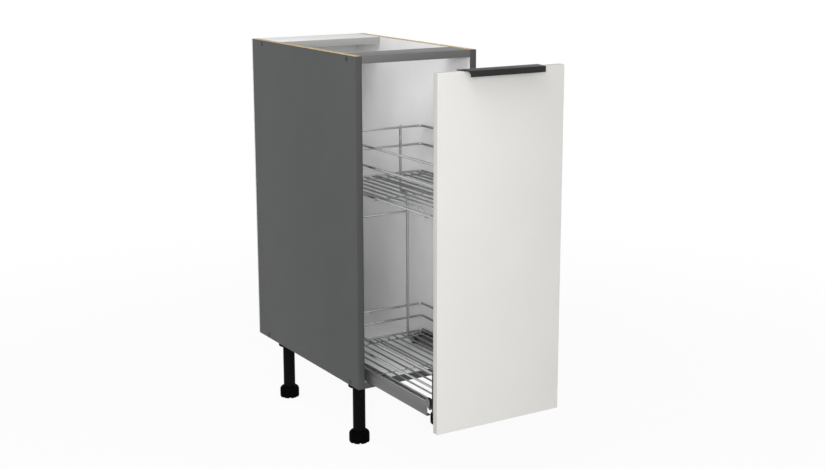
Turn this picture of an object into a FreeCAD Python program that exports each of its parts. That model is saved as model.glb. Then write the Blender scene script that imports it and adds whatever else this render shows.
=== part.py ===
import FreeCAD, Part
import os
import re
import Sketcher

# Pull-out base cabinet: a chipboard carcass on plinth legs with a two-tier wire pull-out.
# Frame: origin on the floor under the centre of the unit's box with the pull-out part-way open,
# +Z up, +X to the right, the front panel faces -Y.

doc = FreeCAD.newDocument("PullOutCabinet")

# Driving dimensions in millimetres
SIZES = {
    # Carcass boards
    "carcass_width": 300,
    "carcass_height": 720,
    "carcass_depth": 500,
    "board_thk": 16,
    "back_thk": 3,
    "band_thk": 1,
    "front_rail_depth": 80,
    "back_rail_depth": 110,
    # Fasteners of the carcass
    "confirmat_dia": 7,
    "confirmat_len": 48,
    "cap_dia": 11,
    "cap_thk": 1.5,
    "fixing_setback_front": 38,
    "fixing_setback_back": 54,
    "dowel_dia": 8,
    "dowel_len": 30,
    "dowel_in_side": 12,
    "bottom_dowel_setback": 150,
    "rail_dowel_setback": 24,
    "nail_dia": 1.6,
    "nail_len": 18,
    "nail_setback": 60,
    "rail_hole_dia": 5,
    "rail_hole_inset": 50,
    "cut_overrun": 1,
    # Plinth legs
    "leg_height": 150,
    "leg_inset_side": 42.5,
    "leg_inset_end": 75,
    "socket_dia": 48,
    "socket_thk": 20,
    "socket_roof": 2,
    "tube_dia": 28,
    "tube_wall": 2.5,
    "tube_base": 8,
    "foot_dia": 46,
    "foot_height": 27,
    "foot_round": 8,
    "foot_rim_round": 2,
    "foot_gap": 0.2,
    "foot_slot_width": 5,
    "foot_slot_depth": 5.5,
    "foot_core_dia": 31,
    "stem_dia": 14,
    "stem_len": 50,
    "leg_screw_dia": 3.5,
    "leg_screw_bite": 12,
    "leg_screw_pcd": 38,
    "leg_screw_turn": 30,
    # Front panel and its place
    "front_thk": 16,
    "front_side_gap": 2,
    "front_bottom_gap": 1,
    "front_top_gap": 4,
    "front_edge_round": 1,
    "opening": 298,
    "closed_gap": 2,
    "bumper_dia": 9,
    "bumper_inset": 40,
    # Edge-pull handle
    "handle_len": 190,
    "handle_end_slant": 8.5,
    "handle_reach": 21,
    "handle_plate": 2,
    "handle_lip_height": 12,
    "handle_lip_thk": 2,
    "handle_cove": 9,
    "handle_trim_overrun": 5,
    "handle_flange_drop": 16,
    "handle_flange_thk": 1.5,
    "handle_screw_spread": 120,
    # Wire baskets
    "basket_side_gap": 9,
    "basket_front_gap": 26,
    "basket_length": 460,
    "basket_corner": 8,
    "frame_wire_dia": 5,
    "floor_wire_dia": 4,
    "floor_centre_gap": 10.5,
    "floor_edge_gap": 14.75,
    "cross_rear_inset": 20,
    "cross_front_inset": 42,
    "lower_mid_rail_height": 36.5,
    "lower_top_rail_height": 66.5,
    "upper_mid_rail_height": 63,
    "upper_top_rail_height": 105,
    "basket_spacing_height": 384.5,
    "upright_setback": 108,
    "upright_spread": 120,
    # Rear hanger rods
    "rod_dia": 6,
    "rod_bend": 9,
    "rod_head": 4,
    "rod_jog_drop": 44,
    "tie_bar_dia": 5,
    "tie_bar_drop": 86,
    # Runners
    "sheet_thk": 1.5,
    "runner_side_gap": 3.5,
    "runner_width": 28.5,
    "runner_height": 29.1,
    "runner_floor_gap": 0.5,
    "runner_lip": 9.5,
    "runner_front_gap": 51,
    "runner_rear_gap": 2,
    "shelf_height": 20,
    "inner_web_gap": 1,
    "front_tube_dia": 10,
    "stop_tab_width": 17,
    "stop_tab_height": 14.5,
    # Fixed guides and rollers
    "guide_lead": 6,
    "guide_length": 70,
    "guide_offset": 10.8,
    "guide_flange": 9,
    "guide_height": 17,
    "guide_screw_dia": 3,
    "guide_screw_len": 12,
    "guide_screw_head_thk": 1.2,
    "roller_inset": 12,
    "roller_width": 7,
    "roller_side_gap": 0.8,
    "running_gap": 0.3,
    "bore_gap": 0.05,
    "guide_pin_dia": 5,
    "carriage_roller_dia": 16.4,
    "carriage_roller_width": 5,
    "carriage_pin_dia": 4,
    "carriage_roller_inset": 12,
    "carriage_side_gap": 1,
    "pin_head_dia": 8,
    "pin_head_thk": 0.8,
    "roller_cover_width": 9,
    "roller_cover_length": 24,
    "roller_cover_drop": 6,
    # Brackets that carry the front
    "bracket_flange": 28.5,
    "lower_bracket_bottom": 26,
    "lower_bracket_top": 112,
    "lower_bracket_reach": 34,
    "clamp_lead": 5,
    "clamp_height": 10.5,
    "clamp_head_dia": 18,
    "clamp_head_thk": 2.5,
    "clamp_shoulder_dia": 8,
    "clamp_screw_dia": 5,
    "upper_bracket_width": 180,
    "upper_bracket_overrun": 12,
    "bracket_screw_dia": 4,
    "bracket_screw_len": 12,
    "bracket_screw_head": 7.5,
    "bracket_screw_inset": 18,
}
FLOOR_WIRES_PER_SIDE = 6
FOOT_SLOTS = 8
LEG_SCREWS = 3
ROD_WIRE = 3
TOLERANCE = 0.01

sheet = doc.addObject("Spreadsheet::Sheet", "dims")
for row, (alias, value) in enumerate(SIZES.items(), start=1):
    sheet.set(f"A{row}", str(value))
    sheet.setAlias(f"A{row}", alias)
doc.recompute()

# Places worked out from the driving dimensions
X_SIDE = "(carcass_width / 2)"
X_INNER = f"({X_SIDE} - board_thk)"
Y_FRONT = "((opening + front_thk + handle_reach - carcass_depth) / 2)"
Y_BACK = f"({Y_FRONT} + carcass_depth - back_thk)"
Y_PANEL = f"({Y_FRONT} - opening)"
Z_BASE = "leg_height"
Z_FLOOR = "(leg_height + board_thk)"
Z_TOP = "(leg_height + carcass_height)"
Z_PANEL = "(leg_height + front_bottom_gap)"
Z_PANEL_TOP = f"({Z_TOP} - front_top_gap)"
Y_FRONT_LEG = f"({Y_FRONT} + leg_inset_end)"
Y_BACK_LEG = f"({Y_FRONT} + carcass_depth - leg_inset_end)"
X_LEG = f"({X_SIDE} - leg_inset_side)"
X_BASKET = f"({X_INNER} - basket_side_gap)"
Y_BASKET = f"({Y_PANEL} + basket_front_gap)"
Y_BASKET_REAR = f"({Y_BASKET} + basket_length)"
X_RUNNER = f"({X_INNER} - runner_side_gap)"
X_RUNNER_IN = f"({X_RUNNER} - runner_width)"
Y_RUNNER = f"({Y_PANEL} + runner_front_gap)"
Y_RUNNER_REAR = f"({Y_BASKET_REAR} + runner_rear_gap)"
Z_RUNNER = f"({Z_FLOOR} + runner_floor_gap)"
Z_SHELF = f"({Z_FLOOR} + shelf_height)"
Z_LOWER = f"({Z_SHELF} + floor_wire_dia + frame_wire_dia / 2)"
Z_UPPER = f"({Z_LOWER} + basket_spacing_height)"
Y_CROSS_REAR = f"({Y_BASKET_REAR} - cross_rear_inset)"
WIRE_PITCH = f"(({X_BASKET} - floor_edge_gap - floor_centre_gap / 2) / {FLOOR_WIRES_PER_SIDE - 1})"
X_ROD = f"(floor_centre_gap / 2 + {ROD_WIRE} * {WIRE_PITCH} + (floor_wire_dia + rod_dia) / 2)"
Y_GUIDE = f"({Y_RUNNER} + opening - closed_gap + guide_lead)"
X_GUIDE = f"({X_RUNNER} - guide_offset)"
ROLLER_DIA = f"({Z_SHELF} - {Z_RUNNER} - 2 * sheet_thk - 2 * running_gap)"
Z_ROLLER = f"(({Z_SHELF} + {Z_RUNNER}) / 2)"
Z_CARRIAGE = f"({Z_FLOOR} + running_gap + carriage_roller_dia / 2)"
Y_CARRIAGE = f"({Y_RUNNER_REAR} - carriage_roller_inset)"
X_BRACKET = f"({X_BASKET} + frame_wire_dia / 2)"
Y_CLAMP = f"({Y_RUNNER} - clamp_lead)"
Z_CLAMP = f"({Z_SHELF} + clamp_height)"
X_CARRIAGE = f"({X_RUNNER_IN} - carriage_side_gap - carriage_roller_width)"

nodes = []


def formula(text):
    """Turn size names in a formula into references to the sheet."""
    return re.sub(r"[a-z_]+", lambda word: "dims." + word.group() if word.group() in SIZES else word.group(),
                  str(text))


def bind(obj, **sizes):
    """Bind properties of an object to formulas; a double underscore stands for a dot."""
    for name, text in sizes.items():
        obj.setExpression(name.replace("__", "."), formula(text))
    return obj


def make(kind, label, **sizes):
    """Add an object of the document with its label and bound sizes."""
    obj = doc.addObject(kind, label)
    obj.Label = label
    return bind(obj, **sizes)


def node(obj):
    """Mark an object as a finished sub-part."""
    nodes.append(obj)
    return obj


def at(obj, x=0, y=0, z=0):
    """Bind the place of an object."""
    return bind(obj, Placement__Base__x=x, Placement__Base__y=y, Placement__Base__z=z)


def box(label, x, y, z, length, width, height):
    """Block from its lowest corner and its size along X, Y and Z."""
    return at(make("Part::Box", label, Length=length, Width=width, Height=height), x, y, z)


TURN = {
    "X": FreeCAD.Rotation(FreeCAD.Vector(0, 1, 0), 90),
    "Y": FreeCAD.Rotation(FreeCAD.Vector(1, 0, 0), -90),
    "Z": FreeCAD.Rotation(),
}


def rod(label, axis, dia, length, x, y, z):
    """Round bar that starts at a point and runs along one axis."""
    bar = make("Part::Cylinder", label, Radius=f"({dia}) / 2", Height=length)
    bar.Placement.Rotation = TURN[axis]
    return at(bar, x, y, z)


def cone(label, axis, dia_from, dia_to, length, x, y, z):
    """Tapered head that starts at a point and runs along one axis."""
    taper = make("Part::Cone", label, Radius1=f"({dia_from}) / 2", Radius2=f"({dia_to}) / 2", Height=length)
    taper.Placement.Rotation = TURN[axis]
    return at(taper, x, y, z)


def group(label, parts):
    """Several separate solids in one object."""
    obj = make("Part::Compound", label)
    obj.Links = parts
    return obj


def fuse(label, parts):
    """Join pieces of one solid."""
    obj = make("Part::MultiFuse", label)
    obj.Shapes = parts
    obj.Refine = True
    return obj


def cut(label, base, tools):
    """Take tools out of a base."""
    obj = make("Part::Cut", label)
    obj.Base = base
    obj.Tool = tools[0] if len(tools) == 1 else group(label + "_tools", tools)
    return obj


def mirrored(label, source):
    """The same piece for the other side of the unit."""
    obj = make("Part::Mirroring", label)
    obj.Source = source
    obj.Normal = FreeCAD.Vector(1, 0, 0)
    return obj


def body(label):
    """Empty PartDesign body."""
    return make("PartDesign::Body", label)


def outline(part, name, plane, points):
    """Closed outline of straight lines whose corners are formulas, on an origin plane of its body."""
    sketch = part.newObject("Sketcher::SketchObject", f"{part.Name}_{name}")
    origin = [item for item in part.Origin.OriginFeatures if item.Role == plane]
    sketch.AttachmentSupport = [(origin[0], "")]
    sketch.MapMode = "FlatFace"
    count = len(points)
    for index in range(count):
        start = FreeCAD.Vector(index, index ** 2, 0)
        end = FreeCAD.Vector(index + 1, (index + 1) ** 2, 0) if index < count - 1 else FreeCAD.Vector()
        sketch.addGeometry(Part.LineSegment(start, end), False)
    for index in range(count):
        sketch.addConstraint(Sketcher.Constraint("Coincident", index, 2, (index + 1) % count, 1))
    for index, corner in enumerate(points):
        for kind, place in zip(("DistanceX", "DistanceY"), corner):
            number = sketch.addConstraint(Sketcher.Constraint(kind, -1, 1, index, 1, 1.0))
            sketch.setExpression(f"Constraints[{number}]", formula(place))
    return sketch


def pad(part, name, plane, points, length, midplane=False):
    """Pad an outline by a bound length."""
    feature = part.newObject("PartDesign::Pad", f"{part.Name}_{name}_pad")
    feature.Profile = outline(part, name, plane, points)
    feature.Midplane = midplane
    bind(feature, Length=length)
    doc.recompute()
    return feature


def edges_where(shape, test):
    """Names of the edges whose two ends both pass a test."""
    return [f"Edge{number}" for number, edge in enumerate(shape.Edges, start=1)
            if all(test(vertex.Point) for vertex in edge.Vertexes)]


def value(name):
    """A driving dimension as a number."""
    return sheet.get(name)


def sides():
    """Name and sign of the left and the right side."""
    return (("left", -1), ("right", 1))


def span(sign, inner, outer):
    """Lowest X of a stretch between two distances from the middle plane."""
    return inner if sign > 0 else f"-({outer})"


# Fasteners of the carcass

def side_fixings():
    """Confirmat screws with caps and dowels, which join the sides to the bottom and the top rails."""
    rail_z = f"{Z_TOP} - board_thk / 2"
    bottom_z = f"{Z_BASE} + board_thk / 2"
    front = f"{Y_FRONT} + fixing_setback_front"
    back = f"{Y_FRONT} + carcass_depth - fixing_setback_back"
    dowels_at = ((f"{Y_FRONT} + bottom_dowel_setback", bottom_z),
                 (f"{Y_BACK} - bottom_dowel_setback", bottom_z),
                 (f"{Y_FRONT} + front_rail_depth - rail_dowel_setback", rail_z),
                 (f"{Y_BACK} - rail_dowel_setback", rail_z))
    screws, caps, dowels = [], [], []
    for side, sign in sides():
        for number, (y, z) in enumerate(((front, bottom_z), (back, bottom_z), (front, rail_z), (back, rail_z))):
            tip = f"{X_SIDE} - cap_thk - confirmat_len"
            screws.append(rod(f"confirmat_{side}_{number}", "X", "confirmat_dia", "confirmat_len",
                              span(sign, tip, f"{X_SIDE} - cap_thk"), y, z))
            caps.append(rod(f"cap_{side}_{number}", "X", "cap_dia", "cap_thk",
                            span(sign, f"{X_SIDE} - cap_thk", X_SIDE), y, z))
        for number, (y, z) in enumerate(dowels_at):
            near = f"{X_INNER} + dowel_in_side - dowel_len"
            dowels.append(rod(f"dowel_{side}_{number}", "X", "dowel_dia", "dowel_len",
                              span(sign, near, f"{X_INNER} + dowel_in_side"), y, z))
    return (node(group("confirmat_screws", screws)), node(group("screw_caps", caps)),
            node(group("wooden_dowels", dowels)))


def back_nails():
    """Nails through the back panel into the rear edges of the sides."""
    nails = []
    heights = (f"{Z_BASE} + nail_setback", f"{Z_BASE} + carcass_height / 2", f"{Z_TOP} - nail_setback")
    for side, sign in sides():
        for number, z in enumerate(heights):
            nails.append(rod(f"nail_{side}_{number}", "Y", "nail_dia", "nail_len",
                             f"{sign} * ({X_SIDE} - board_thk / 2)", f"{Y_BACK} + back_thk - nail_len", z))
    return node(group("back_panel_nails", nails))


def leg_places():
    """Name, X and Y of the four legs."""
    places = []
    for end, y in (("front", Y_FRONT_LEG), ("back", Y_BACK_LEG)):
        for side, sign in sides():
            places.append((f"{end}_{side}", f"{sign} * {X_LEG}", y))
    return places


def leg_screws():
    """Screws that hold each leg socket under the bottom panel."""
    screws = []
    for name, x, y in leg_places():
        for number in range(LEG_SCREWS):
            angle = 360 / LEG_SCREWS * number + SIZES["leg_screw_turn"]
            across = f"{x} + leg_screw_pcd / 2 * cos({angle} deg)"
            along = f"{y} + leg_screw_pcd / 2 * sin({angle} deg)"
            shank = rod(f"leg_shank_{name}_{number}", "Z", "leg_screw_dia", "socket_thk + leg_screw_bite",
                        across, along, f"{Z_BASE} - socket_thk")
            head = cone(f"leg_head_{name}_{number}", "Z", "2 * leg_screw_dia", "leg_screw_dia",
                        "leg_screw_dia / 2", across, along, f"{Z_BASE} - socket_thk")
            screws.append(fuse(f"leg_screw_{name}_{number}", [shank, head]))
    return node(group("leg_screws", screws))


def guide_screws():
    """Screws that hold the fixed guides on the bottom panel."""
    screws = []
    flat = "(guide_flange - sheet_thk)"
    for side, sign in sides():
        x = f"{sign} * ({X_GUIDE} - sheet_thk - {flat} / 2)"
        for number, y in enumerate((f"{Y_GUIDE} + roller_inset", f"{Y_GUIDE} + guide_length - roller_inset")):
            shank = rod(f"guide_shank_{side}_{number}", "Z", "guide_screw_dia", "guide_screw_len",
                        x, y, f"{Z_FLOOR} + sheet_thk - guide_screw_len")
            head = rod(f"guide_head_{side}_{number}", "Z", "2 * guide_screw_dia", "guide_screw_head_thk",
                       x, y, f"{Z_FLOOR} + sheet_thk")
            screws.append(fuse(f"guide_screw_{side}_{number}", [shank, head]))
    return node(group("guide_screws", screws))


# Carcass

def carcass(confirmats, caps, dowels, nails, leg_fixings, guide_fixings):
    """Sides, bottom, top rails, back and edge bands."""
    depth = "(carcass_depth - back_thk - band_thk)"
    y = f"{Y_FRONT} + band_thk"
    for side, sign in sides():
        blank = box(f"side_blank_{side}", span(sign, X_INNER, X_SIDE), y, Z_BASE,
                    "board_thk", depth, "carcass_height")
        node(cut(f"side_panel_{side}", blank, [confirmats, caps, dowels, nails]))
    inner = f"2 * {X_INNER}"
    blank = box("bottom_blank", f"-{X_INNER}", y, Z_BASE, inner, depth, "board_thk")
    node(cut("bottom_panel", blank, [confirmats, dowels, leg_fixings, guide_fixings]))
    holes = []
    for number, y_hole in enumerate((f"{Y_FRONT} + front_rail_depth / 2", f"{Y_BACK} - back_rail_depth / 2")):
        for side, sign in sides():
            holes.append(rod(f"rail_hole_{number}_{side}", "Z", "rail_hole_dia", "board_thk + 2 * cut_overrun",
                             f"{sign} * ({X_INNER} - rail_hole_inset)", y_hole,
                             f"{Z_TOP} - board_thk - cut_overrun"))
    blank = box("front_rail_blank", f"-{X_INNER}", y, f"{Z_TOP} - board_thk", inner,
                "front_rail_depth - band_thk", "board_thk")
    node(cut("front_top_rail", blank, [confirmats, dowels] + holes))
    blank = box("back_rail_blank", f"-{X_INNER}", f"{Y_BACK} - back_rail_depth", f"{Z_TOP} - board_thk", inner,
                "back_rail_depth", "board_thk")
    node(cut("back_top_rail", blank, [confirmats, dowels] + holes))
    blank = box("back_blank", f"-{X_SIDE}", Y_BACK, Z_BASE, "carcass_width", "back_thk", "carcass_height")
    node(cut("back_panel", blank, [nails]))
    bands = [box(f"band_{side}", span(sign, X_INNER, X_SIDE), Y_FRONT, Z_BASE, "board_thk", "band_thk",
                 "carcass_height") for side, sign in sides()]
    bands.append(box("band_bottom", f"-{X_INNER}", Y_FRONT, Z_BASE, inner, "band_thk", "board_thk"))
    bands.append(box("band_rail", f"-{X_INNER}", Y_FRONT, f"{Z_TOP} - board_thk",
                     inner, "band_thk", "board_thk"))
    node(group("edge_banding", bands))


# Plinth legs

def legs(screws):
    """Sockets under the bottom panel, tubes and screw feet."""
    sockets = []
    for name, x, y in leg_places():
        flange = rod(f"socket_flange_{name}", "Z", "socket_dia", "socket_thk", x, y, f"{Z_BASE} - socket_thk")
        well = rod(f"socket_well_{name}", "Z", "tube_dia", "socket_thk - socket_roof", x, y,
                   f"{Z_BASE} - socket_thk")
        sockets.append(cut(f"socket_{name}", flange, [well, screws]))
        outside = rod(f"tube_outside_{name}", "Z", "tube_dia",
                      "leg_height - foot_height - foot_gap - socket_roof", x, y, "foot_height + foot_gap")
        hollow = rod(f"tube_hollow_{name}", "Z", "tube_dia - 2 * tube_wall", "leg_height", x, y,
                     "foot_height + foot_gap + tube_base")
        thread = rod(f"tube_thread_{name}", "Z", "stem_dia + 2 * bore_gap", "leg_height", x, y, "foot_height")
        node(cut(f"leg_tube_{name}", outside, [hollow, thread]))
        node(foot(name, x, y))
    node(group("leg_sockets", sockets))


def foot(name, x, y):
    """Screw foot: a rounded disc with grip slots round its lower rim and a threaded stem."""
    disc = rod(f"foot_disc_{name}", "Z", "foot_dia", "foot_height", x, y, 0)
    rounded = make("Part::Fillet", f"foot_rounded_{name}")
    rounded.Base = disc
    top_rim, bottom_rim = 1, 3
    rounded.Edges = [(top_rim, value("foot_round"), value("foot_round")),
                     (bottom_rim, value("foot_rim_round"), value("foot_rim_round"))]
    slots = []
    for number in range(FOOT_SLOTS // 2):
        bar = make("Part::Box", f"foot_slot_{name}_{number}", Length="foot_dia + 2 * cut_overrun",
                   Width="foot_slot_width", Height="foot_slot_depth + cut_overrun")
        angle = 360 / FOOT_SLOTS * (number + 1 / 2)
        bar.Placement.Rotation = FreeCAD.Rotation(FreeCAD.Vector(0, 0, 1), angle)
        half_length = "(foot_dia / 2 + cut_overrun)"
        half_width = "(foot_slot_width / 2)"
        at(bar, f"{x} - {half_length} * cos({angle} deg) + {half_width} * sin({angle} deg)",
           f"{y} - {half_length} * sin({angle} deg) - {half_width} * cos({angle} deg)", "-cut_overrun")
        slots.append(bar)
    core = rod(f"foot_core_{name}", "Z", "foot_core_dia", "foot_slot_depth + cut_overrun", x, y, 0)
    stem = rod(f"foot_stem_{name}", "Z", "stem_dia", "stem_len + cut_overrun", x, y,
               "foot_height - cut_overrun")
    return fuse(f"foot_{name}", [cut(f"foot_slotted_{name}", rounded, slots), core, stem])


# Front panel, handle and brackets

def handle_fixings():
    """Countersunk screws through the rear flange of the handle into the front panel."""
    screws = []
    z = f"{Z_PANEL_TOP} - handle_flange_drop / 2"
    for side, sign in sides():
        x = f"{sign} * handle_screw_spread / 2"
        head = cone(f"handle_head_{side}", "Y", "bracket_screw_dia",
                    "bracket_screw_dia + 2 * handle_flange_thk", "handle_flange_thk", x, Y_PANEL, z)
        shank = rod(f"handle_shank_{side}", "Y", "bracket_screw_dia", "bracket_screw_len", x,
                    f"{Y_PANEL} - bracket_screw_len", z)
        screws.append(fuse(f"handle_screw_{side}", [shank, head]))
    return node(group("handle_screws", screws))


def bracket_fixings():
    """Pan-head screws that hold the four brackets on the rear face of the front panel."""
    screws = []
    lower_x = f"({X_BRACKET} - bracket_flange / 2)"
    upper_x = "(upper_bracket_width / 2 - bracket_flange / 2)"
    rows = (("lower", lower_x, f"{Z_BASE} + lower_bracket_bottom", f"{Z_BASE} + lower_bracket_top"),
            ("upper", upper_x, f"{Z_UPPER} - upper_bracket_overrun",
             f"{Z_UPPER} + upper_top_rail_height + upper_bracket_overrun"))
    for tier, x, low, high in rows:
        for side, sign in sides():
            for number, z in enumerate((f"{low} + bracket_screw_inset", f"{high} - bracket_screw_inset")):
                shank = rod(f"bracket_shank_{tier}_{side}_{number}", "Y", "bracket_screw_dia",
                            "bracket_screw_len + sheet_thk", f"{sign} * {x}",
                            f"{Y_PANEL} - bracket_screw_len", z)
                head = rod(f"bracket_head_{tier}_{side}_{number}", "Y", "bracket_screw_head", "sheet_thk",
                           f"{sign} * {x}", f"{Y_PANEL} + sheet_thk", z)
                screws.append(fuse(f"bracket_screw_{tier}_{side}_{number}", [shank, head]))
    return node(group("bracket_screws", screws))


def clamps():
    """Clamp screws in front of the runners: each head presses the runner on the ear of a lower bracket."""
    screws = []
    for side, sign in sides():
        inner, web_face = X_BRACKET, f"({X_BRACKET} + sheet_thk)"
        runner_face = f"({X_RUNNER} + clamp_head_thk)"
        shank = rod(f"clamp_shank_{side}", "X", "clamp_screw_dia", "sheet_thk", span(sign, inner, web_face),
                    Y_CLAMP, Z_CLAMP)
        shoulder = rod(f"clamp_shoulder_{side}", "X", "clamp_shoulder_dia", f"{X_RUNNER} - {web_face}",
                       span(sign, web_face, X_RUNNER), Y_CLAMP, Z_CLAMP)
        head = rod(f"clamp_head_{side}", "X", "clamp_head_dia", "clamp_head_thk",
                   span(sign, X_RUNNER, runner_face), Y_CLAMP, Z_CLAMP)
        screws.append(fuse(f"clamp_screw_{side}", [shank, shoulder, head]))
    return node(group("clamp_screws", screws))


def front_panel(handle_screws, bracket_screws):
    """Front board with softened edges, drilled for the handle and the brackets."""
    board = body("front_board")
    half = f"({X_SIDE} - front_side_gap)"
    slab = pad(board, "face", "XZ_Plane", [(f"-{half}", Z_PANEL), (half, Z_PANEL), (half, Z_PANEL_TOP),
                                           (f"-{half}", Z_PANEL_TOP)], "front_thk")
    at(board, y=Y_PANEL)
    soft = board.newObject("PartDesign::Fillet", "front_board_soft_edges")
    soft.Base = (slab, [""])
    soft.UseAllEdges = True
    bind(soft, Radius="front_edge_round")
    node(cut("front_panel", board, [handle_screws, bracket_screws]))


def handle(screws):
    """Edge pull: a plate on the top edge, a lip in front with a cove behind it and a rear flange."""
    pull = body("handle_profile")
    nose = "-(front_thk + handle_reach)"
    drop = "handle_plate - handle_lip_height"
    bar = pad(pull, "section", "YZ_Plane", [
        ("handle_flange_thk", "-handle_flange_drop"), ("handle_flange_thk", "handle_plate"),
        (nose, "handle_plate"), (nose, drop), (f"{nose} + handle_lip_thk", drop),
        (f"{nose} + handle_lip_thk", "0"), ("0", "0"), ("0", "-handle_flange_drop")], "handle_len", True)
    cove = pull.newObject("PartDesign::Fillet", "handle_cove")
    corner_y = -(value("front_thk") + value("handle_reach")) + value("handle_lip_thk")
    in_corner = edges_where(bar.Shape, lambda p: abs(p.y - corner_y) < TOLERANCE and abs(p.z) < TOLERANCE)
    cove.Base = (bar, in_corner)
    bind(cove, Radius="min(handle_cove; handle_lip_height - handle_plate - running_gap)")
    doc.recompute()
    past = f"{nose} - handle_trim_overrun"
    slant = "handle_end_slant * (1 + handle_trim_overrun / (front_thk + handle_reach))"
    for side, sign in sides():
        end = f"{sign} * handle_len / 2"
        beyond = f"{sign} * (handle_len / 2 + handle_trim_overrun)"
        trim = pull.newObject("PartDesign::Pocket", f"handle_end_{side}")
        trim.Profile = outline(pull, f"end_{side}", "XY_Plane", [
            (end, "0"), (beyond, "0"), (beyond, past), (f"{sign} * (handle_len / 2 - {slant})", past)])
        trim.Type = "ThroughAll"
        trim.Midplane = True
        doc.recompute()
    at(pull, 0, Y_PANEL, Z_PANEL_TOP)
    node(cut("handle", pull, [screws]))


def brackets(screws, clamp_screws):
    """Angle brackets: the lower pair joins the runners, the upper pair hooks the basket's front wires."""
    low = body("lower_bracket_profile")
    web = X_BRACKET
    pad(low, "plan", "XY_Plane", [
        (f"{web} - bracket_flange", "0"), (f"{web} + sheet_thk", "0"),
        (f"{web} + sheet_thk", "lower_bracket_reach"), (web, "lower_bracket_reach"),
        (web, "sheet_thk"), (f"{web} - bracket_flange", "sheet_thk")],
        "lower_bracket_top - lower_bracket_bottom")
    at(low, 0, Y_PANEL, f"{Z_BASE} + lower_bracket_bottom")
    ear_start = f"({Y_PANEL} + lower_bracket_reach - cut_overrun)"
    ear = box("ear_tab", X_BRACKET, ear_start, Z_SHELF, "sheet_thk", f"{Y_CLAMP} - {ear_start}",
              "2 * clamp_height")
    ear_end = rod("ear_end", "X", "2 * clamp_height", "sheet_thk", X_BRACKET, Y_CLAMP, Z_CLAMP)
    plate = fuse("lower_bracket_plate", [low, ear, ear_end])
    high = body("upper_bracket_profile")
    web = "upper_bracket_width / 2"
    reach = "basket_front_gap"
    pad(high, "plan", "XY_Plane", [
        (f"{web} - bracket_flange", "0"), (f"{web} + sheet_thk", "0"), (f"{web} + sheet_thk", reach),
        (web, reach), (web, "sheet_thk"), (f"{web} - bracket_flange", "sheet_thk")],
        "upper_top_rail_height + 2 * upper_bracket_overrun")
    at(high, 0, Y_PANEL, f"{Z_UPPER} - upper_bracket_overrun")
    notches = [rod(f"hook_notch_{number}", "X", "frame_wire_dia + 2 * bore_gap", "bracket_flange",
                   "upper_bracket_width / 2 - bracket_flange / 2", Y_BASKET, f"{Z_UPPER} + {rise}")
               for number, rise in enumerate(("0", "upper_mid_rail_height", "upper_top_rail_height"))]
    left_notches = [mirrored(f"hook_notch_left_{number}", notch) for number, notch in enumerate(notches)]
    rows = (("lower", plate, [clamp_screws], [clamp_screws]), ("upper", high, notches, left_notches))
    for tier, profile, right_tools, left_tools in rows:
        node(cut(f"{tier}_bracket_right", profile, [screws] + right_tools))
        left = mirrored(f"{tier}_bracket_profile_left", profile)
        node(cut(f"{tier}_bracket_left", left, [screws] + left_tools))


def bumpers():
    """Soft stops on the rear face of the front panel, over the front edges of the sides."""
    stops = []
    for side, sign in sides():
        for name, z in (("low", f"{Z_PANEL} + bumper_inset"), ("high", f"{Z_PANEL_TOP} - bumper_inset")):
            stops.append(rod(f"bumper_{name}_{side}", "Y", "bumper_dia", "closed_gap - running_gap",
                             f"{sign} * ({X_SIDE} - board_thk / 2)", Y_PANEL, z))
    node(group("front_bumpers", stops))


# Baskets

def ring(label, z):
    """Closed wire frame with rounded corners at one height of a basket."""
    straight_x = f"({X_BASKET} - basket_corner)"
    front = f"({Y_BASKET} + basket_corner)"
    rear = f"({Y_BASKET_REAR} - basket_corner)"
    pieces = []
    for side, sign in sides():
        pieces.append(rod(f"{label}_{side}", "Y", "frame_wire_dia", "basket_length - 2 * basket_corner",
                          f"{sign} * {X_BASKET}", front, z))
    for name, y in (("front", Y_BASKET), ("rear", Y_BASKET_REAR)):
        pieces.append(rod(f"{label}_{name}", "X", "frame_wire_dia", f"2 * {straight_x}",
                          f"-{straight_x}", y, z))
    corners = ((1, rear, 0), (-1, rear, 90), (-1, front, 180), (1, front, 270))
    for sign, y, angle in corners:
        bend = make("Part::Torus", f"{label}_corner_{angle}", Radius1="basket_corner",
                    Radius2="frame_wire_dia / 2")
        bend.Angle3 = 90
        bend.Placement.Rotation = FreeCAD.Rotation(FreeCAD.Vector(0, 0, 1), angle)
        pieces.append(at(bend, f"{sign} * {straight_x}", y, z))
    return fuse(label, pieces)


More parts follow.
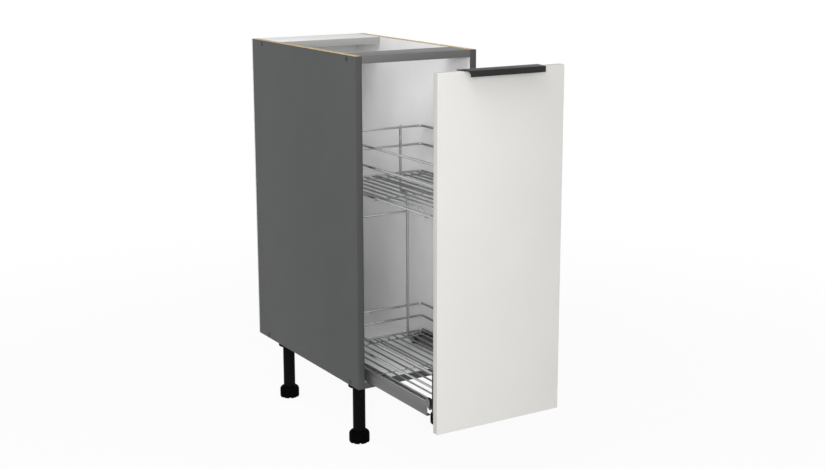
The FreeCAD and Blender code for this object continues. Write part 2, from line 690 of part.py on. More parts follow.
def basket(tier, z, mid_rail, top_rail):
    """One basket: floor frame with floor and cross wires, two guard rails and their uprights."""
    floor_z = f"{z} - (frame_wire_dia - floor_wire_dia) / 2"
    wires = [ring(f"{tier}_floor_frame", z)]
    for side, sign in sides():
        for number in range(FLOOR_WIRES_PER_SIDE):
            x = f"{sign} * (floor_centre_gap / 2 + {number} * {WIRE_PITCH})"
            wires.append(rod(f"{tier}_floor_wire_{side}_{number}", "Y", "floor_wire_dia",
                             "basket_length - frame_wire_dia", x, f"{Y_BASKET} + frame_wire_dia / 2", floor_z))
    front = f"({Y_BASKET} + cross_front_inset)"
    middle = f"(({Y_BASKET} + cross_front_inset + {Y_CROSS_REAR}) / 2)"
    for number, y in enumerate((front, middle, Y_CROSS_REAR)):
        wires.append(rod(f"{tier}_cross_wire_{number}", "X", "floor_wire_dia", f"2 * {X_BASKET}",
                         f"-{X_BASKET}", y, f"{z} - frame_wire_dia / 2 - floor_wire_dia / 2"))
    node(group(f"{tier}_basket_floor", wires))
    node(ring(f"{tier}_basket_mid_rail", f"{z} + {mid_rail}"))
    node(ring(f"{tier}_basket_top_rail", f"{z} + {top_rail}"))
    lean = "(frame_wire_dia + floor_wire_dia) / 2"
    height = f"{top_rail} + frame_wire_dia"
    foot_z = f"{z} - frame_wire_dia / 2"
    posts = []
    for side, sign in sides():
        posts.append(rod(f"{tier}_upright_{side}", "Z", "floor_wire_dia", height,
                         f"{sign} * ({X_BASKET} - {lean})", f"{Y_BASKET_REAR} - upright_setback", foot_z))
        posts.append(rod(f"{tier}_upright_front_{side}", "Z", "floor_wire_dia", height,
                         f"{sign} * upright_spread / 2", f"{Y_BASKET} + {lean}", foot_z))
    node(group(f"{tier}_basket_uprights", posts))


def rear_hanger():
    """Rods behind the upper basket that jog forward and stand in the lower one, with a tie bar."""
    y_high = f"({Y_BASKET_REAR} + (frame_wire_dia + rod_dia) / 2)"
    y_low = f"({Y_CROSS_REAR} - (floor_wire_dia + rod_dia) / 2)"
    z_jog = f"({Z_UPPER} - rod_jog_drop)"
    z_foot = f"({Z_SHELF} + floor_wire_dia)"
    z_head = f"({Z_UPPER} + upper_top_rail_height + rod_head)"
    pieces = [
        rod("rod_high", "Z", "rod_dia", f"{z_head} - {z_jog} - rod_bend", X_ROD, y_high, f"{z_jog} + rod_bend"),
        rod("rod_jog", "Y", "rod_dia", f"{y_high} - {y_low} - 2 * rod_bend", X_ROD,
            f"{y_low} + rod_bend", z_jog),
        rod("rod_low", "Z", "rod_dia", f"{z_jog} - rod_bend - {z_foot}", X_ROD, y_low, z_foot)]
    bends = (("upper", f"{y_high} - rod_bend", f"{z_jog} + rod_bend", 180),
             ("lower", f"{y_low} + rod_bend", f"{z_jog} - rod_bend", 0))
    for name, y, z, angle in bends:
        bend = make("Part::Torus", f"rod_bend_{name}", Radius1="rod_bend", Radius2="rod_dia / 2")
        bend.Angle3 = 90
        upright = FreeCAD.Rotation(FreeCAD.Vector(0, 1, 0), 90)
        bend.Placement.Rotation = FreeCAD.Rotation(FreeCAD.Vector(1, 0, 0), angle + 180) * upright
        pieces.append(at(bend, X_ROD, y, z))
    right = node(fuse("rear_rod_right", pieces))
    node(mirrored("rear_rod_left", right))
    node(rod("rear_tie_bar", "X", "tie_bar_dia", f"2 * {X_ROD} - rod_dia", f"rod_dia / 2 - {X_ROD}", y_low,
             f"{Z_UPPER} - tie_bar_drop"))


# Runners, guides and rollers

def runners():
    """Pull-out runners: a stepped sheet channel with a stop tab and a covered roller at its rear."""
    profile = body("runner_profile")
    thk = "sheet_thk"
    inner_bottom = f"({Z_FLOOR} + inner_web_gap)"
    pad(profile, "section", "XZ_Plane", [
        (f"{X_RUNNER} - runner_lip", Z_RUNNER), (X_RUNNER, Z_RUNNER), (X_RUNNER, f"{Z_RUNNER} + runner_height"),
        (f"{X_RUNNER} - {thk}", f"{Z_RUNNER} + runner_height"), (f"{X_RUNNER} - {thk}", Z_SHELF),
        (X_RUNNER_IN, Z_SHELF), (X_RUNNER_IN, inner_bottom), (f"{X_RUNNER_IN} + {thk}", inner_bottom),
        (f"{X_RUNNER_IN} + {thk}", f"{Z_SHELF} - {thk}"), (f"{X_RUNNER} - {thk}", f"{Z_SHELF} - {thk}"),
        (f"{X_RUNNER} - {thk}", f"{Z_RUNNER} + {thk}"), (f"{X_RUNNER} - runner_lip", f"{Z_RUNNER} + {thk}")],
        f"{Y_RUNNER_REAR} - {Y_RUNNER}")
    at(profile, y=Y_RUNNER_REAR)
    tab = box("stop_tab", f"{X_RUNNER_IN} + {thk}", f"{Y_RUNNER_REAR} - {thk}",
              f"{Z_SHELF} - {thk} - stop_tab_height", "stop_tab_width", thk, "stop_tab_height")
    cover_x, cover_y = f"({X_RUNNER_IN} - roller_cover_width)", f"({Y_RUNNER_REAR} - roller_cover_length)"
    cover = box("roller_cover", cover_x, cover_y, f"{Z_SHELF} - {thk}", f"roller_cover_width + {thk}",
                "roller_cover_length", thk)
    skirt = box("roller_skirt", cover_x, cover_y, f"{Z_SHELF} - roller_cover_drop", thk,
                "roller_cover_length", "roller_cover_drop")
    channel = fuse("runner_channel", [profile, tab, cover, skirt])
    pins = []
    for side, sign in sides():
        inner, outer = f"({X_CARRIAGE} - running_gap - pin_head_thk)", f"({X_RUNNER_IN} + {thk})"
        shank = rod(f"carriage_shank_{side}", "X", "carriage_pin_dia", f"{outer} - {inner}",
                    span(sign, inner, outer), Y_CARRIAGE, Z_CARRIAGE)
        head = rod(f"carriage_head_{side}", "X", "pin_head_dia", "pin_head_thk",
                   span(sign, inner, f"{inner} + pin_head_thk"), Y_CARRIAGE, Z_CARRIAGE)
        pins.append(fuse(f"carriage_pin_{side}", [shank, head]))
        wheel = rod(f"carriage_disc_{side}", "X", "carriage_roller_dia", "carriage_roller_width",
                    span(sign, X_CARRIAGE, f"{X_CARRIAGE} + carriage_roller_width"), Y_CARRIAGE, Z_CARRIAGE)
        bore_start = span(sign, f"{X_CARRIAGE} - cut_overrun",
                          f"{X_CARRIAGE} + carriage_roller_width + cut_overrun")
        bore = rod(f"carriage_bore_{side}", "X", "carriage_pin_dia + 2 * bore_gap",
                   "carriage_roller_width + 2 * cut_overrun", bore_start, Y_CARRIAGE, Z_CARRIAGE)
        node(cut(f"carriage_roller_{side}", wheel, [bore]))
    pin_group = node(group("carriage_pins", pins))
    node(cut("runner_right", channel, [pin_group]))
    node(cut("runner_left", mirrored("runner_channel_left", channel), [pin_group]))
    node(rod("front_cross_tube", "X", "front_tube_dia", f"2 * {X_BRACKET}", f"-{X_BRACKET}",
             f"{Y_RUNNER} - front_tube_dia / 2", f"{Z_SHELF} + floor_wire_dia - front_tube_dia / 2"))


def guide():
    """Angle profile of the fixed guide on the bottom panel; its rollers run between the shelf and lip."""
    angle = body("guide_profile")
    thk = "sheet_thk"
    pad(angle, "section", "XZ_Plane", [
        (f"{X_GUIDE} - guide_flange", Z_FLOOR), (X_GUIDE, Z_FLOOR), (X_GUIDE, f"{Z_FLOOR} + guide_height"),
        (f"{X_GUIDE} - {thk}", f"{Z_FLOOR} + guide_height"), (f"{X_GUIDE} - {thk}", f"{Z_FLOOR} + {thk}"),
        (f"{X_GUIDE} - guide_flange", f"{Z_FLOOR} + {thk}")], "guide_length")
    at(angle, y=f"{Y_GUIDE} + guide_length")
    return angle


def guide_rollers():
    """Rollers of the fixed guides and the pins that they turn on."""
    pins = []
    face = f"({X_GUIDE} + roller_side_gap)"
    places = (("front", f"{Y_GUIDE} + roller_inset"), ("rear", f"{Y_GUIDE} + guide_length - roller_inset"))
    for side, sign in sides():
        for name, y in places:
            inner, outer = f"({X_GUIDE} - sheet_thk)", f"({face} + roller_width + running_gap + pin_head_thk)"
            shank = rod(f"guide_pin_shank_{name}_{side}", "X", "guide_pin_dia", f"{outer} - {inner}",
                        span(sign, inner, outer), y, Z_ROLLER)
            head = rod(f"guide_pin_head_{name}_{side}", "X", "pin_head_dia", "pin_head_thk",
                       span(sign, f"{outer} - pin_head_thk", outer), y, Z_ROLLER)
            pins.append(fuse(f"guide_pin_{name}_{side}", [shank, head]))
            disc = rod(f"guide_disc_{name}_{side}", "X", ROLLER_DIA, "roller_width",
                       span(sign, face, f"{face} + roller_width"), y, Z_ROLLER)
            bore = rod(f"guide_bore_{name}_{side}", "X", "guide_pin_dia + 2 * bore_gap",
                       "roller_width + 2 * cut_overrun",
                       span(sign, f"{face} - cut_overrun", f"{face} + roller_width + cut_overrun"), y, Z_ROLLER)
            node(cut(f"guide_roller_{name}_{side}", disc, [bore]))
    return node(group("guide_roller_pins", pins))


confirmats, caps, dowels = side_fixings()
nails = back_nails()
leg_fixings = leg_screws()
guide_fixings = guide_screws()
carcass(confirmats, caps, dowels, nails, leg_fixings, guide_fixings)
legs(leg_fixings)
handle_screws = handle_fixings()
bracket_screws = bracket_fixings()
clamp_screws = clamps()
front_panel(handle_screws, bracket_screws)
handle(handle_screws)
brackets(bracket_screws, clamp_screws)
bumpers()
basket("lower", Z_LOWER, "lower_mid_rail_height", "lower_top_rail_height")
basket("upper", Z_UPPER, "upper_mid_rail_height", "upper_top_rail_height")
rear_hanger()
runners()
guide_angle = guide()
roller_pins = guide_rollers()
node(cut("guide_right", guide_angle, [roller_pins, guide_fixings]))
node(cut("guide_left", mirrored("guide_profile_left", guide_angle), [roller_pins, guide_fixings]))
doc.recompute()

# Every object has to be sound before anything is written
for obj in doc.Objects:
    if "Invalid" in obj.State or "Error" in obj.State:
        raise RuntimeError(f"{obj.Label} did not compute")
os.makedirs("parts", exist_ok=True)
for obj in nodes:
    if obj.Shape.isNull() or not obj.Shape.isValid() or not obj.Shape.Solids:
        raise RuntimeError(f"{obj.Label} has no sound solid")
for obj in nodes:
    obj.Shape.exportStep(f"parts/{obj.Label}.step")
    print(f"{obj.Label}: {len(obj.Shape.Solids)} solids, {obj.Shape.Volume:.1f} mm3")
print(len(nodes), "sub-parts")
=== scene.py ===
"""Looks of a narrow pull-out base cabinet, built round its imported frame.

Every mesh is in metres in the frame's own axes: the front panel faces -Y, +X is to the right and
+Z is up. Places come from the boxes of the frame's nodes, and each sub-assembly is a class that
builds its pieces and lets them ride on the bodies that carry them.
"""
import logging
import math
from dataclasses import dataclass, field
from enum import Enum
from functools import cache

import bmesh
import bpy
from mathutils import Matrix, Vector

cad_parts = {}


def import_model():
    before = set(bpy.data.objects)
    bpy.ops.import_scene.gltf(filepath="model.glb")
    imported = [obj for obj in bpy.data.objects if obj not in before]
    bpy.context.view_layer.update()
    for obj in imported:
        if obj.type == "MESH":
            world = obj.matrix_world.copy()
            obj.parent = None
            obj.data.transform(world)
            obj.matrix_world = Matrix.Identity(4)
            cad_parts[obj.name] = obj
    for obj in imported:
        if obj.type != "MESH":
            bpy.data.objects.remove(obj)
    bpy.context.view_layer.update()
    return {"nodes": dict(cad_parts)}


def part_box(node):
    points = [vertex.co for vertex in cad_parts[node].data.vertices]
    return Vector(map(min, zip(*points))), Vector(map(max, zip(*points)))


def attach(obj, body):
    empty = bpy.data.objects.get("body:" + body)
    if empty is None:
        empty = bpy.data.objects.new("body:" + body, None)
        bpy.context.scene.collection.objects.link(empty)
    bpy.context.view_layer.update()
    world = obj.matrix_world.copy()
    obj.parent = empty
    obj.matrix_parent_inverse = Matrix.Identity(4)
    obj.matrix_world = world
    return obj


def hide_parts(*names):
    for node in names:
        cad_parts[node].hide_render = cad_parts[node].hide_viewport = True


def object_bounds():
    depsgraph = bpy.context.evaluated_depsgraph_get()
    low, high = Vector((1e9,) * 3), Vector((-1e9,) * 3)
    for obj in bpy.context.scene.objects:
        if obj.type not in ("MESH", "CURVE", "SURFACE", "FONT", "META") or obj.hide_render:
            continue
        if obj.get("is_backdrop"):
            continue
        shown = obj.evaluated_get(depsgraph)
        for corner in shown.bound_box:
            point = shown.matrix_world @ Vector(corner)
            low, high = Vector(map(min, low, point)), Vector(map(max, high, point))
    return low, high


LOG = logging.getLogger("cabinet")
MM = 0.001
TIP = 0.2 * MM  # radius at which a turned outline closes on its axis
CREASE = 35.0  # angle in degrees above which an edge stays sharp
SIDES = (("left", -1), ("right", 1))
ENDS = ("front", "back")


class Side(Enum):
    """Faces of a board, named by the way that they look."""

    LEFT = (-1, 0, 0)
    RIGHT = (1, 0, 0)
    FRONT = (0, -1, 0)
    BACK = (0, 1, 0)
    UNDER = (0, 0, -1)
    TOP = (0, 0, 1)


class Axis(Enum):
    """Axes along which bars and extrusions run."""

    X = 0
    Y = 1
    Z = 2


def tone(red: float, green: float, blue: float) -> tuple[float, float, float, float]:
    """Turn a colour of 0 to 255, as a screen shows it, into shader values.

    Args:
        red: Red of the screen colour.
        green: Green of the screen colour.
        blue: Blue of the screen colour.

    Returns:
        Linear red, green, blue and a full alpha.
    """
    def linear(value: float) -> float:
        """Light that a screen gives for a value."""
        share = value / 255
        return share / 12.92 if share <= 0.04045 else ((share + 0.055) / 1.055) ** 2.4

    return linear(red), linear(green), linear(blue), 1.0


class Graph:
    """Nodes of one material, with its principled shader at hand."""

    def __init__(self, name: str) -> None:
        """Start an empty material with a principled shader.

        Args:
            name: Name of the material.
        """
        self.material = bpy.data.materials.new(name)
        self.material.use_nodes = True
        self.tree = self.material.node_tree
        self.shader = self.tree.nodes["Principled BSDF"]
        self.place = self.add("ShaderNodeTexCoord").outputs["Object"]

    def add(self, kind: str, **values: object) -> bpy.types.Node:
        """Add a node and set its properties.

        Args:
            kind: Blender's type name of the node.
            **values: Properties of the node and their values.

        Returns:
            The new node.
        """
        node = self.tree.nodes.new(kind)
        for name, value in values.items():
            setattr(node, name, value)
        return node

    def link(self, source: bpy.types.NodeSocket, target: bpy.types.NodeSocket) -> None:
        """Join two sockets."""
        self.tree.links.new(source, target)

    def stretched(self, scale: tuple[float, float, float]) -> bpy.types.NodeSocket:
        """Object coordinates, scaled on each axis.

        Args:
            scale: Factors along X, Y and Z.

        Returns:
            The scaled vector.
        """
        mapping = self.add("ShaderNodeMapping")
        mapping.inputs["Scale"].default_value = scale
        self.link(self.place, mapping.inputs["Vector"])
        return mapping.outputs["Vector"]

    def noise(self, scale: float, detail: float = 3.0,
              place: bpy.types.NodeSocket | None = None) -> bpy.types.NodeSocket:
        """Noise over the object.

        Args:
            scale: Features per metre.
            detail: Octaves of the noise.
            place: Coordinates, or None for the plain object coordinates.

        Returns:
            The noise value from 0 to 1.
        """
        texture = self.add("ShaderNodeTexNoise")
        texture.inputs["Scale"].default_value = scale
        texture.inputs["Detail"].default_value = detail
        self.link(place or self.place, texture.inputs["Vector"])
        return texture.outputs["Fac"]

    def ramp(self, value: bpy.types.NodeSocket,
             stops: list[tuple[float, tuple[float, float, float, float]]]) -> bpy.types.NodeSocket:
        """Turn a value into a colour.

        Args:
            value: Value from 0 to 1.
            stops: Places on the ramp and their colours.

        Returns:
            The colour.
        """
        node = self.add("ShaderNodeValToRGB")
        elements = node.color_ramp.elements
        while len(elements) < len(stops):
            elements.new(0.5)
        for element, (position, colour) in zip(elements, stops):
            element.position = position
            element.color = colour
        self.link(value, node.inputs["Fac"])
        return node.outputs["Color"]

    def between(self, value: bpy.types.NodeSocket, low: float, high: float) -> bpy.types.NodeSocket:
        """Map a noise value to a range.

        Args:
            value: Value from 0 to 1.
            low: Result at 0.25.
            high: Result at 0.75.

        Returns:
            The mapped value.
        """
        node = self.add("ShaderNodeMapRange")
        node.inputs["From Min"].default_value = 0.25
        node.inputs["From Max"].default_value = 0.75
        node.inputs["To Min"].default_value = low
        node.inputs["To Max"].default_value = high
        self.link(value, node.inputs["Value"])
        return node.outputs["Result"]

    def bump(self, value: bpy.types.NodeSocket, strength: float, depth: float) -> None:
        """Raise the surface by a value.

        Args:
            value: Height from 0 to 1.
            strength: Strength of the bump.
            depth: Height in metres at a value of 1.
        """
        node = self.add("ShaderNodeBump")
        node.inputs["Strength"].default_value = strength
        node.inputs["Distance"].default_value = depth
        self.link(value, node.inputs["Height"])
        self.link(node.outputs["Normal"], self.shader.inputs["Normal"])


@dataclass(frozen=True)
class Finish:
    """A finish with a screen colour that drifts a little, a gloss range and a fine relief."""

    name: str
    colour: tuple[float, float, float]
    rough: tuple[float, float] = (0.4, 0.5)
    metal: float = 0.0
    drift: float = 0.02
    drift_scale: float = 14.0
    grain_scale: float = 1400.0
    grain_depth: float = 0.00003
    grain_strength: float = 0.25
    stretch: tuple[float, float, float] = (1.0, 1.0, 1.0)
    specular: float = 0.5
    rim: float = 1.0

    @cache
    def material(self) -> bpy.types.Material:
        """Build the material once and return it."""
        return self.build().material

    def build(self) -> Graph:
        """Build the nodes of the finish.

        Returns:
            The graph of the new material.
        """
        graph = Graph(self.name)
        dark = tone(*[c * (1 - self.drift) for c in self.colour])
        pale = tone(*[min(255, c * (1 + self.drift)) for c in self.colour])
        place = graph.stretched(self.stretch)
        graph.link(graph.ramp(graph.noise(self.drift_scale, 4, place), [(0.3, dark), (0.7, pale)]),
                   graph.shader.inputs["Base Color"])
        grain = graph.noise(self.grain_scale, 2, place)
        graph.link(graph.between(grain, *self.rough), graph.shader.inputs["Roughness"])
        graph.shader.inputs["Metallic"].default_value = self.metal
        graph.shader.inputs["Specular IOR Level"].default_value = self.specular
        graph.shader.inputs["Specular Tint"].default_value = (self.rim, self.rim, self.rim, 1)
        graph.bump(grain, self.grain_strength, self.grain_depth)
        return graph


@dataclass(frozen=True)
class Chipboard(Finish):
    """Bare chipboard edge: pressed flakes of pale wood with darker bits and small pits."""

    flake_scale: float = 420.0
    flake_stretch: tuple[float, float, float] = (1.0, 0.35, 1.0)
    roughness: float = 0.85
    pit_depth: float = 0.0004
    pit_strength: float = 0.5
    dark_flake: tuple[float, float, float] = (150, 118, 74)
    pale_flake: tuple[float, float, float] = (232, 208, 160)

    def build(self) -> Graph:
        """Build flakes from cells, broken up by noise.

        Returns:
            The graph of the new material.
        """
        graph = Graph(self.name)
        cells = graph.add("ShaderNodeTexVoronoi")
        cells.inputs["Scale"].default_value = self.flake_scale
        cells.inputs["Randomness"].default_value = 1.0
        graph.link(graph.stretched(self.flake_stretch), cells.inputs["Vector"])
        shade = graph.add("ShaderNodeSeparateColor")
        graph.link(cells.outputs["Color"], shade.inputs["Color"])
        colour = graph.ramp(shade.outputs["Red"], [(0.0, tone(*self.dark_flake)), (0.25, tone(*self.colour)),
                                                   (0.8, tone(*self.colour)), (1.0, tone(*self.pale_flake))])
        graph.link(colour, graph.shader.inputs["Base Color"])
        graph.shader.inputs["Roughness"].default_value = self.roughness
        graph.bump(cells.outputs["Distance"], self.pit_strength, self.pit_depth)
        return graph


class Palette:
    """Finishes of the cabinet's own parts."""

    GREY_BOARD = Finish("grey_melamine", (85, 87, 86), (0.45, 0.58), drift=0.012, grain_scale=1100,
                        specular=0.1)
    PALE_BOARD = Finish("pale_melamine", (248, 248, 248), (0.45, 0.58), drift=0.01, grain_scale=1100,
                        specular=0.2)
    GREY_BAND = Finish("grey_edge_band", (80, 81, 80), (0.42, 0.54), drift=0.01, grain_scale=900,
                       specular=0.12)
    # Lighter copy of the grey edge band: painted light on the front top rail and the upper front strip.
    LIT_RAIL_BAND = Finish("grey_band_painted_light", (110, 111, 110), (0.42, 0.54), drift=0.01, grain_scale=900,
                       specular=0.12)
    # Darker copy of the pale board: painted shade on the back rail's front edge, which faces into the box.
    SHADED_PALE_BAND = Finish("pale_board_painted_shade", (176, 176, 175), (0.45, 0.58), drift=0.01, grain_scale=900,
                       specular=0.2)
    HARDBOARD = Finish("lacquered_hardboard", (226, 226, 225), (0.5, 0.62), drift=0.005, specular=0.15)
    CHIPBOARD = Chipboard("bare_chipboard", (214, 190, 142))
    FRONT_FOIL = Finish("matt_front_foil", (215, 214, 211), (0.42, 0.52), drift=0.006, drift_scale=6,
                        grain_scale=700, grain_depth=0.00002, specular=0.25)
    # Darker copy of the front foil: painted shade on the front board's four edges.
    SHADED_FRONT_BAND = Finish("front_foil_painted_shade", (195, 194, 190), (0.42, 0.52), drift=0.006, drift_scale=6,
                        grain_scale=700, grain_depth=0.00002, specular=0.25)
    BLACK_COAT = Finish("black_powder_coat", (34, 34, 35), (0.42, 0.6), drift=0.06, drift_scale=300,
                        grain_scale=2200, grain_depth=0.00006, grain_strength=0.35, specular=0.2)
    CHROME = Finish("polished_chrome", (188, 189, 191), (0.16, 0.26), metal=1.0, drift=0.03, drift_scale=40,
                    grain_scale=500, grain_strength=0.04, rim=0.5)
    RUNNER = Finish("runner_sheet", (109, 109, 110), (0.3, 0.45), metal=0.75, drift=0.03, drift_scale=60,
                    grain_scale=900, stretch=(1.0, 0.05, 1.0))
    BRACKET = Finish("bracket_sheet", (38, 38, 39), (0.4, 0.52), metal=0.3, drift=0.05, drift_scale=80,
                     specular=0.25)
    LEG = Finish("black_leg_plastic", (13, 13, 14), (0.55, 0.68), drift=0.08, drift_scale=90,
                 grain_scale=1500, specular=0.03)
    FOOT = Finish("black_foot_plastic", (7, 7, 8), (0.6, 0.72), drift=0.08, drift_scale=90, grain_scale=1500,
                  specular=0.01)
    ZINC = Finish("zinc_screw", (188, 189, 186), (0.25, 0.42), metal=1.0, drift=0.04, drift_scale=200)
    CAP = Finish("dark_cap_plastic", (44, 45, 45), (0.4, 0.5), drift=0.05, drift_scale=120, specular=0.2)
    CLAMP = Finish("clamp_screw_grey", (112, 113, 114), (0.26, 0.38), metal=0.7, drift=0.05, drift_scale=120)
    NYLON = Finish("grey_roller_nylon", (70, 70, 71), (0.35, 0.5), drift=0.04, drift_scale=150)
    BEECH = Finish("beech_dowel", (206, 172, 124), (0.55, 0.7), drift=0.08, drift_scale=60,
                   stretch=(0.1, 1.0, 1.0))
    SILICONE = Finish("bumper_silicone", (214, 214, 208), (0.2, 0.3), drift=0.01)


class Builder:
    """Collects the solids of one visible piece and turns them into a mesh object."""

    def __init__(self, *finishes: Finish) -> None:
        """Start an empty mesh.

        Args:
            *finishes: Finishes of the piece; the first is the one that solids get by default.
        """
        self.mesh = bmesh.new()
        self.finishes = list(finishes)

    def block(self, low: Vector, high: Vector, round_edge: float = 0.0004,
              faces: dict[Side, int] | None = None, segments: int = 2, number: int = 0) -> None:
        """Add a board with softened edges.

        Args:
            low: Lowest corner.
            high: Highest corner.
            round_edge: Radius of the edges.
            faces: Finish number of each side that differs from the first finish.
            segments: Steps of the rounded edges.
            number: Finish number of the other sides.
        """
        made = bmesh.ops.create_cube(self.mesh, size=1.0)["verts"]
        size = Vector(high) - Vector(low)
        middle = (Vector(high) + Vector(low)) / 2
        for vertex in made:
            vertex.co = Vector(vertex.co[i] * size[i] + middle[i] for i in range(3))
        for face in {face for vertex in made for face in vertex.link_faces}:
            face.normal_update()
            face.material_index = number
            for side, other in (faces or {}).items():
                if face.normal.dot(Vector(side.value)) > 0.9:
                    face.material_index = other
        if round_edge > 0:
            edges = {edge for vertex in made for edge in vertex.link_edges}
            bmesh.ops.bevel(self.mesh, geom=list(edges), offset=round_edge, segments=segments, profile=0.5,
                            affect="EDGES", clamp_overlap=True, material=number)

    def tube(self, path: list[Vector], radius: float, closed: bool = False, sides: int = 16,
             dome: float = 0.25) -> None:
        """Add a round wire along a path.

        Args:
            path: Points of the centre line.
            radius: Radius of the wire.
            closed: Whether the path meets its own start.
            sides: Sides of the round section.
            dome: Rounding of open ends, as a share of the radius.
        """
        points = [Vector(point) for point in path]
        count = len(points)
        tangents = []
        for index in range(count):
            ahead = points[(index + 1) % count] if closed or index < count - 1 else points[index]
            behind = points[index - 1] if closed or index > 0 else points[index]
            tangents.append((ahead - behind).normalized())
        across = tangents[0].orthogonal().normalized()
        stations = [(points[i], tangents[i], radius) for i in range(count)]
        if not closed:
            lip = radius * dome
            start, setting_out, end, arriving = points[0], tangents[0], points[-1], tangents[-1]
            stations = [(start, setting_out, radius - lip), (start + setting_out * lip, setting_out, radius),
                        *stations[1:-1],
                        (end - arriving * lip, arriving, radius), (end, arriving, radius - lip)]
        turns = [2 * math.pi * step / sides for step in range(sides)]
        rings = []
        for point, tangent, size in stations:
            across = (across - tangent * across.dot(tangent)).normalized()
            upright = tangent.cross(across)
            places = [point + size * (across * math.cos(turn) + upright * math.sin(turn)) for turn in turns]
            rings.append([self.mesh.verts.new(place) for place in places])
        self.skin(rings, closed)

    def skin(self, rings: list[list[bmesh.types.BMVert]], closed: bool = False) -> None:
        """Join rings of vertices with faces, and cap open ends.

        Args:
            rings: Rings with the same count of vertices.
            closed: Whether the last ring meets the first.
        """
        sides = len(rings[0])
        last = len(rings) if closed else len(rings) - 1
        for index in range(last):
            near, far = rings[index], rings[(index + 1) % len(rings)]
            for step in range(sides):
                after = (step + 1) % sides
                self.mesh.faces.new((near[step], near[after], far[after], far[step]))
        if not closed:
            for ring in (list(reversed(rings[0])), rings[-1]):
                self.mesh.faces.new(ring)

    def lathe(self, profile: list[tuple[float, float]], centre: Vector, axis: Axis, steps: int = 40) -> None:
        """Turn an outline round an axis.

        Args:
            profile: Radius and height of each point, from one end to the other.
            centre: Point of the axis where the height is 0.
            axis: Direction of the axis.
            steps: Steps round the axis.
        """
        turn = {Axis.X: Matrix.Rotation(math.pi / 2, 3, "Y"), Axis.Y: Matrix.Rotation(-math.pi / 2, 3, "X"),
                Axis.Z: Matrix.Identity(3)}[axis]
        rings = []
        for radius, height in profile:
            ring = []
            for step in range(steps):
                angle = 2 * math.pi * step / steps
                local = Vector((radius * math.cos(angle), radius * math.sin(angle), height))
                ring.append(self.mesh.verts.new(Vector(centre) + turn @ local))
            rings.append(ring)
        self.skin(rings)

    def prism(self, outline: list[tuple[float, float]], axis: Axis, start: float, end: float,
              round_edge: float = 0.0) -> list[bmesh.types.BMVert]:
        """Extrude an outline along an axis.

        Args:
            outline: Corners in the two other axes, in their X, Y, Z order.
            axis: Axis of the extrusion.
            start: Lowest place on the axis.
            end: Highest place on the axis.
            round_edge: Radius of the two end rims.

        Returns:
            The vertices of the extrusion.
        """
        others = [index for index in range(3) if index != axis.value]
        rings = []
        for place in (start, end):
            ring = []
            for corner in outline:
                point = Vector()
                point[axis.value] = place
                point[others[0]], point[others[1]] = corner
                ring.append(self.mesh.verts.new(point))
            rings.append(ring)
        self.skin(rings)
        vertices = rings[0] + rings[1]
        if round_edge > 0:
            rims = [edge for ring in rings for edge in {e for v in ring for e in v.link_edges}
                    if edge.verts[0] in ring and edge.verts[1] in ring]
            bmesh.ops.bevel(self.mesh, geom=rims, offset=round_edge, segments=2, profile=0.5, affect="EDGES",
                            clamp_overlap=True)
        return vertices

    def piece(self, name: str, body: str, replaced: tuple[str, ...] = (),
              crease: float = CREASE) -> bpy.types.Object:
        """Make the object, let it ride on its body and hide the nodes that it stands for.

        Args:
            name: Name of the piece.
            body: Body that carries it.
            replaced: Nodes of the frame that it replaces.
            crease: Angle in degrees above which an edge stays sharp.

        Returns:
            The object.
        """
        bmesh.ops.recalc_face_normals(self.mesh, faces=self.mesh.faces[:])
        data = bpy.data.meshes.new(name)
        self.mesh.to_mesh(data)
        self.mesh.free()
        for finish in self.finishes:
            data.materials.append(finish.material())
        data.polygons.foreach_set("use_smooth", [True] * len(data.polygons))
        data.set_sharp_from_angle(angle=math.radians(crease))
        made = bpy.data.objects.new(name, data)
        bpy.context.scene.collection.objects.link(made)
        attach(made, body)
        if replaced:
            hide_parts(*replaced)
        LOG.info("%s rides on %s, %d faces", name, body, len(data.polygons))
        return made


def coat(node: bpy.types.Object, finish: Finish) -> None:
    """Give a node of the frame a finish.

    Args:
        node: Object of the node.
        finish: Its new finish.
    """
    node.data.materials.clear()
    node.data.materials.append(finish.material())
    node.data.polygons.foreach_set("use_smooth", [True] * len(node.data.polygons))
    node.data.set_sharp_from_angle(angle=math.radians(CREASE))
    LOG.info("%s is coated with %s", node.name, finish.name)


def arc(centre: tuple[float, float], radius: float, start: float, end: float,
        steps: int = 6) -> list[tuple[float, float]]:
    """Points of a round stretch of an outline.

    Args:
        centre: Middle of the arc.
        radius: Its radius.
        start: First angle in degrees.
        end: Last angle in degrees.
        steps: Count of steps.

    Returns:
        Points from the first angle to the last.
    """
    angles = [math.radians(start + (end - start) * step / steps) for step in range(steps + 1)]
    return [(centre[0] + radius * math.cos(a), centre[1] + radius * math.sin(a)) for a in angles]


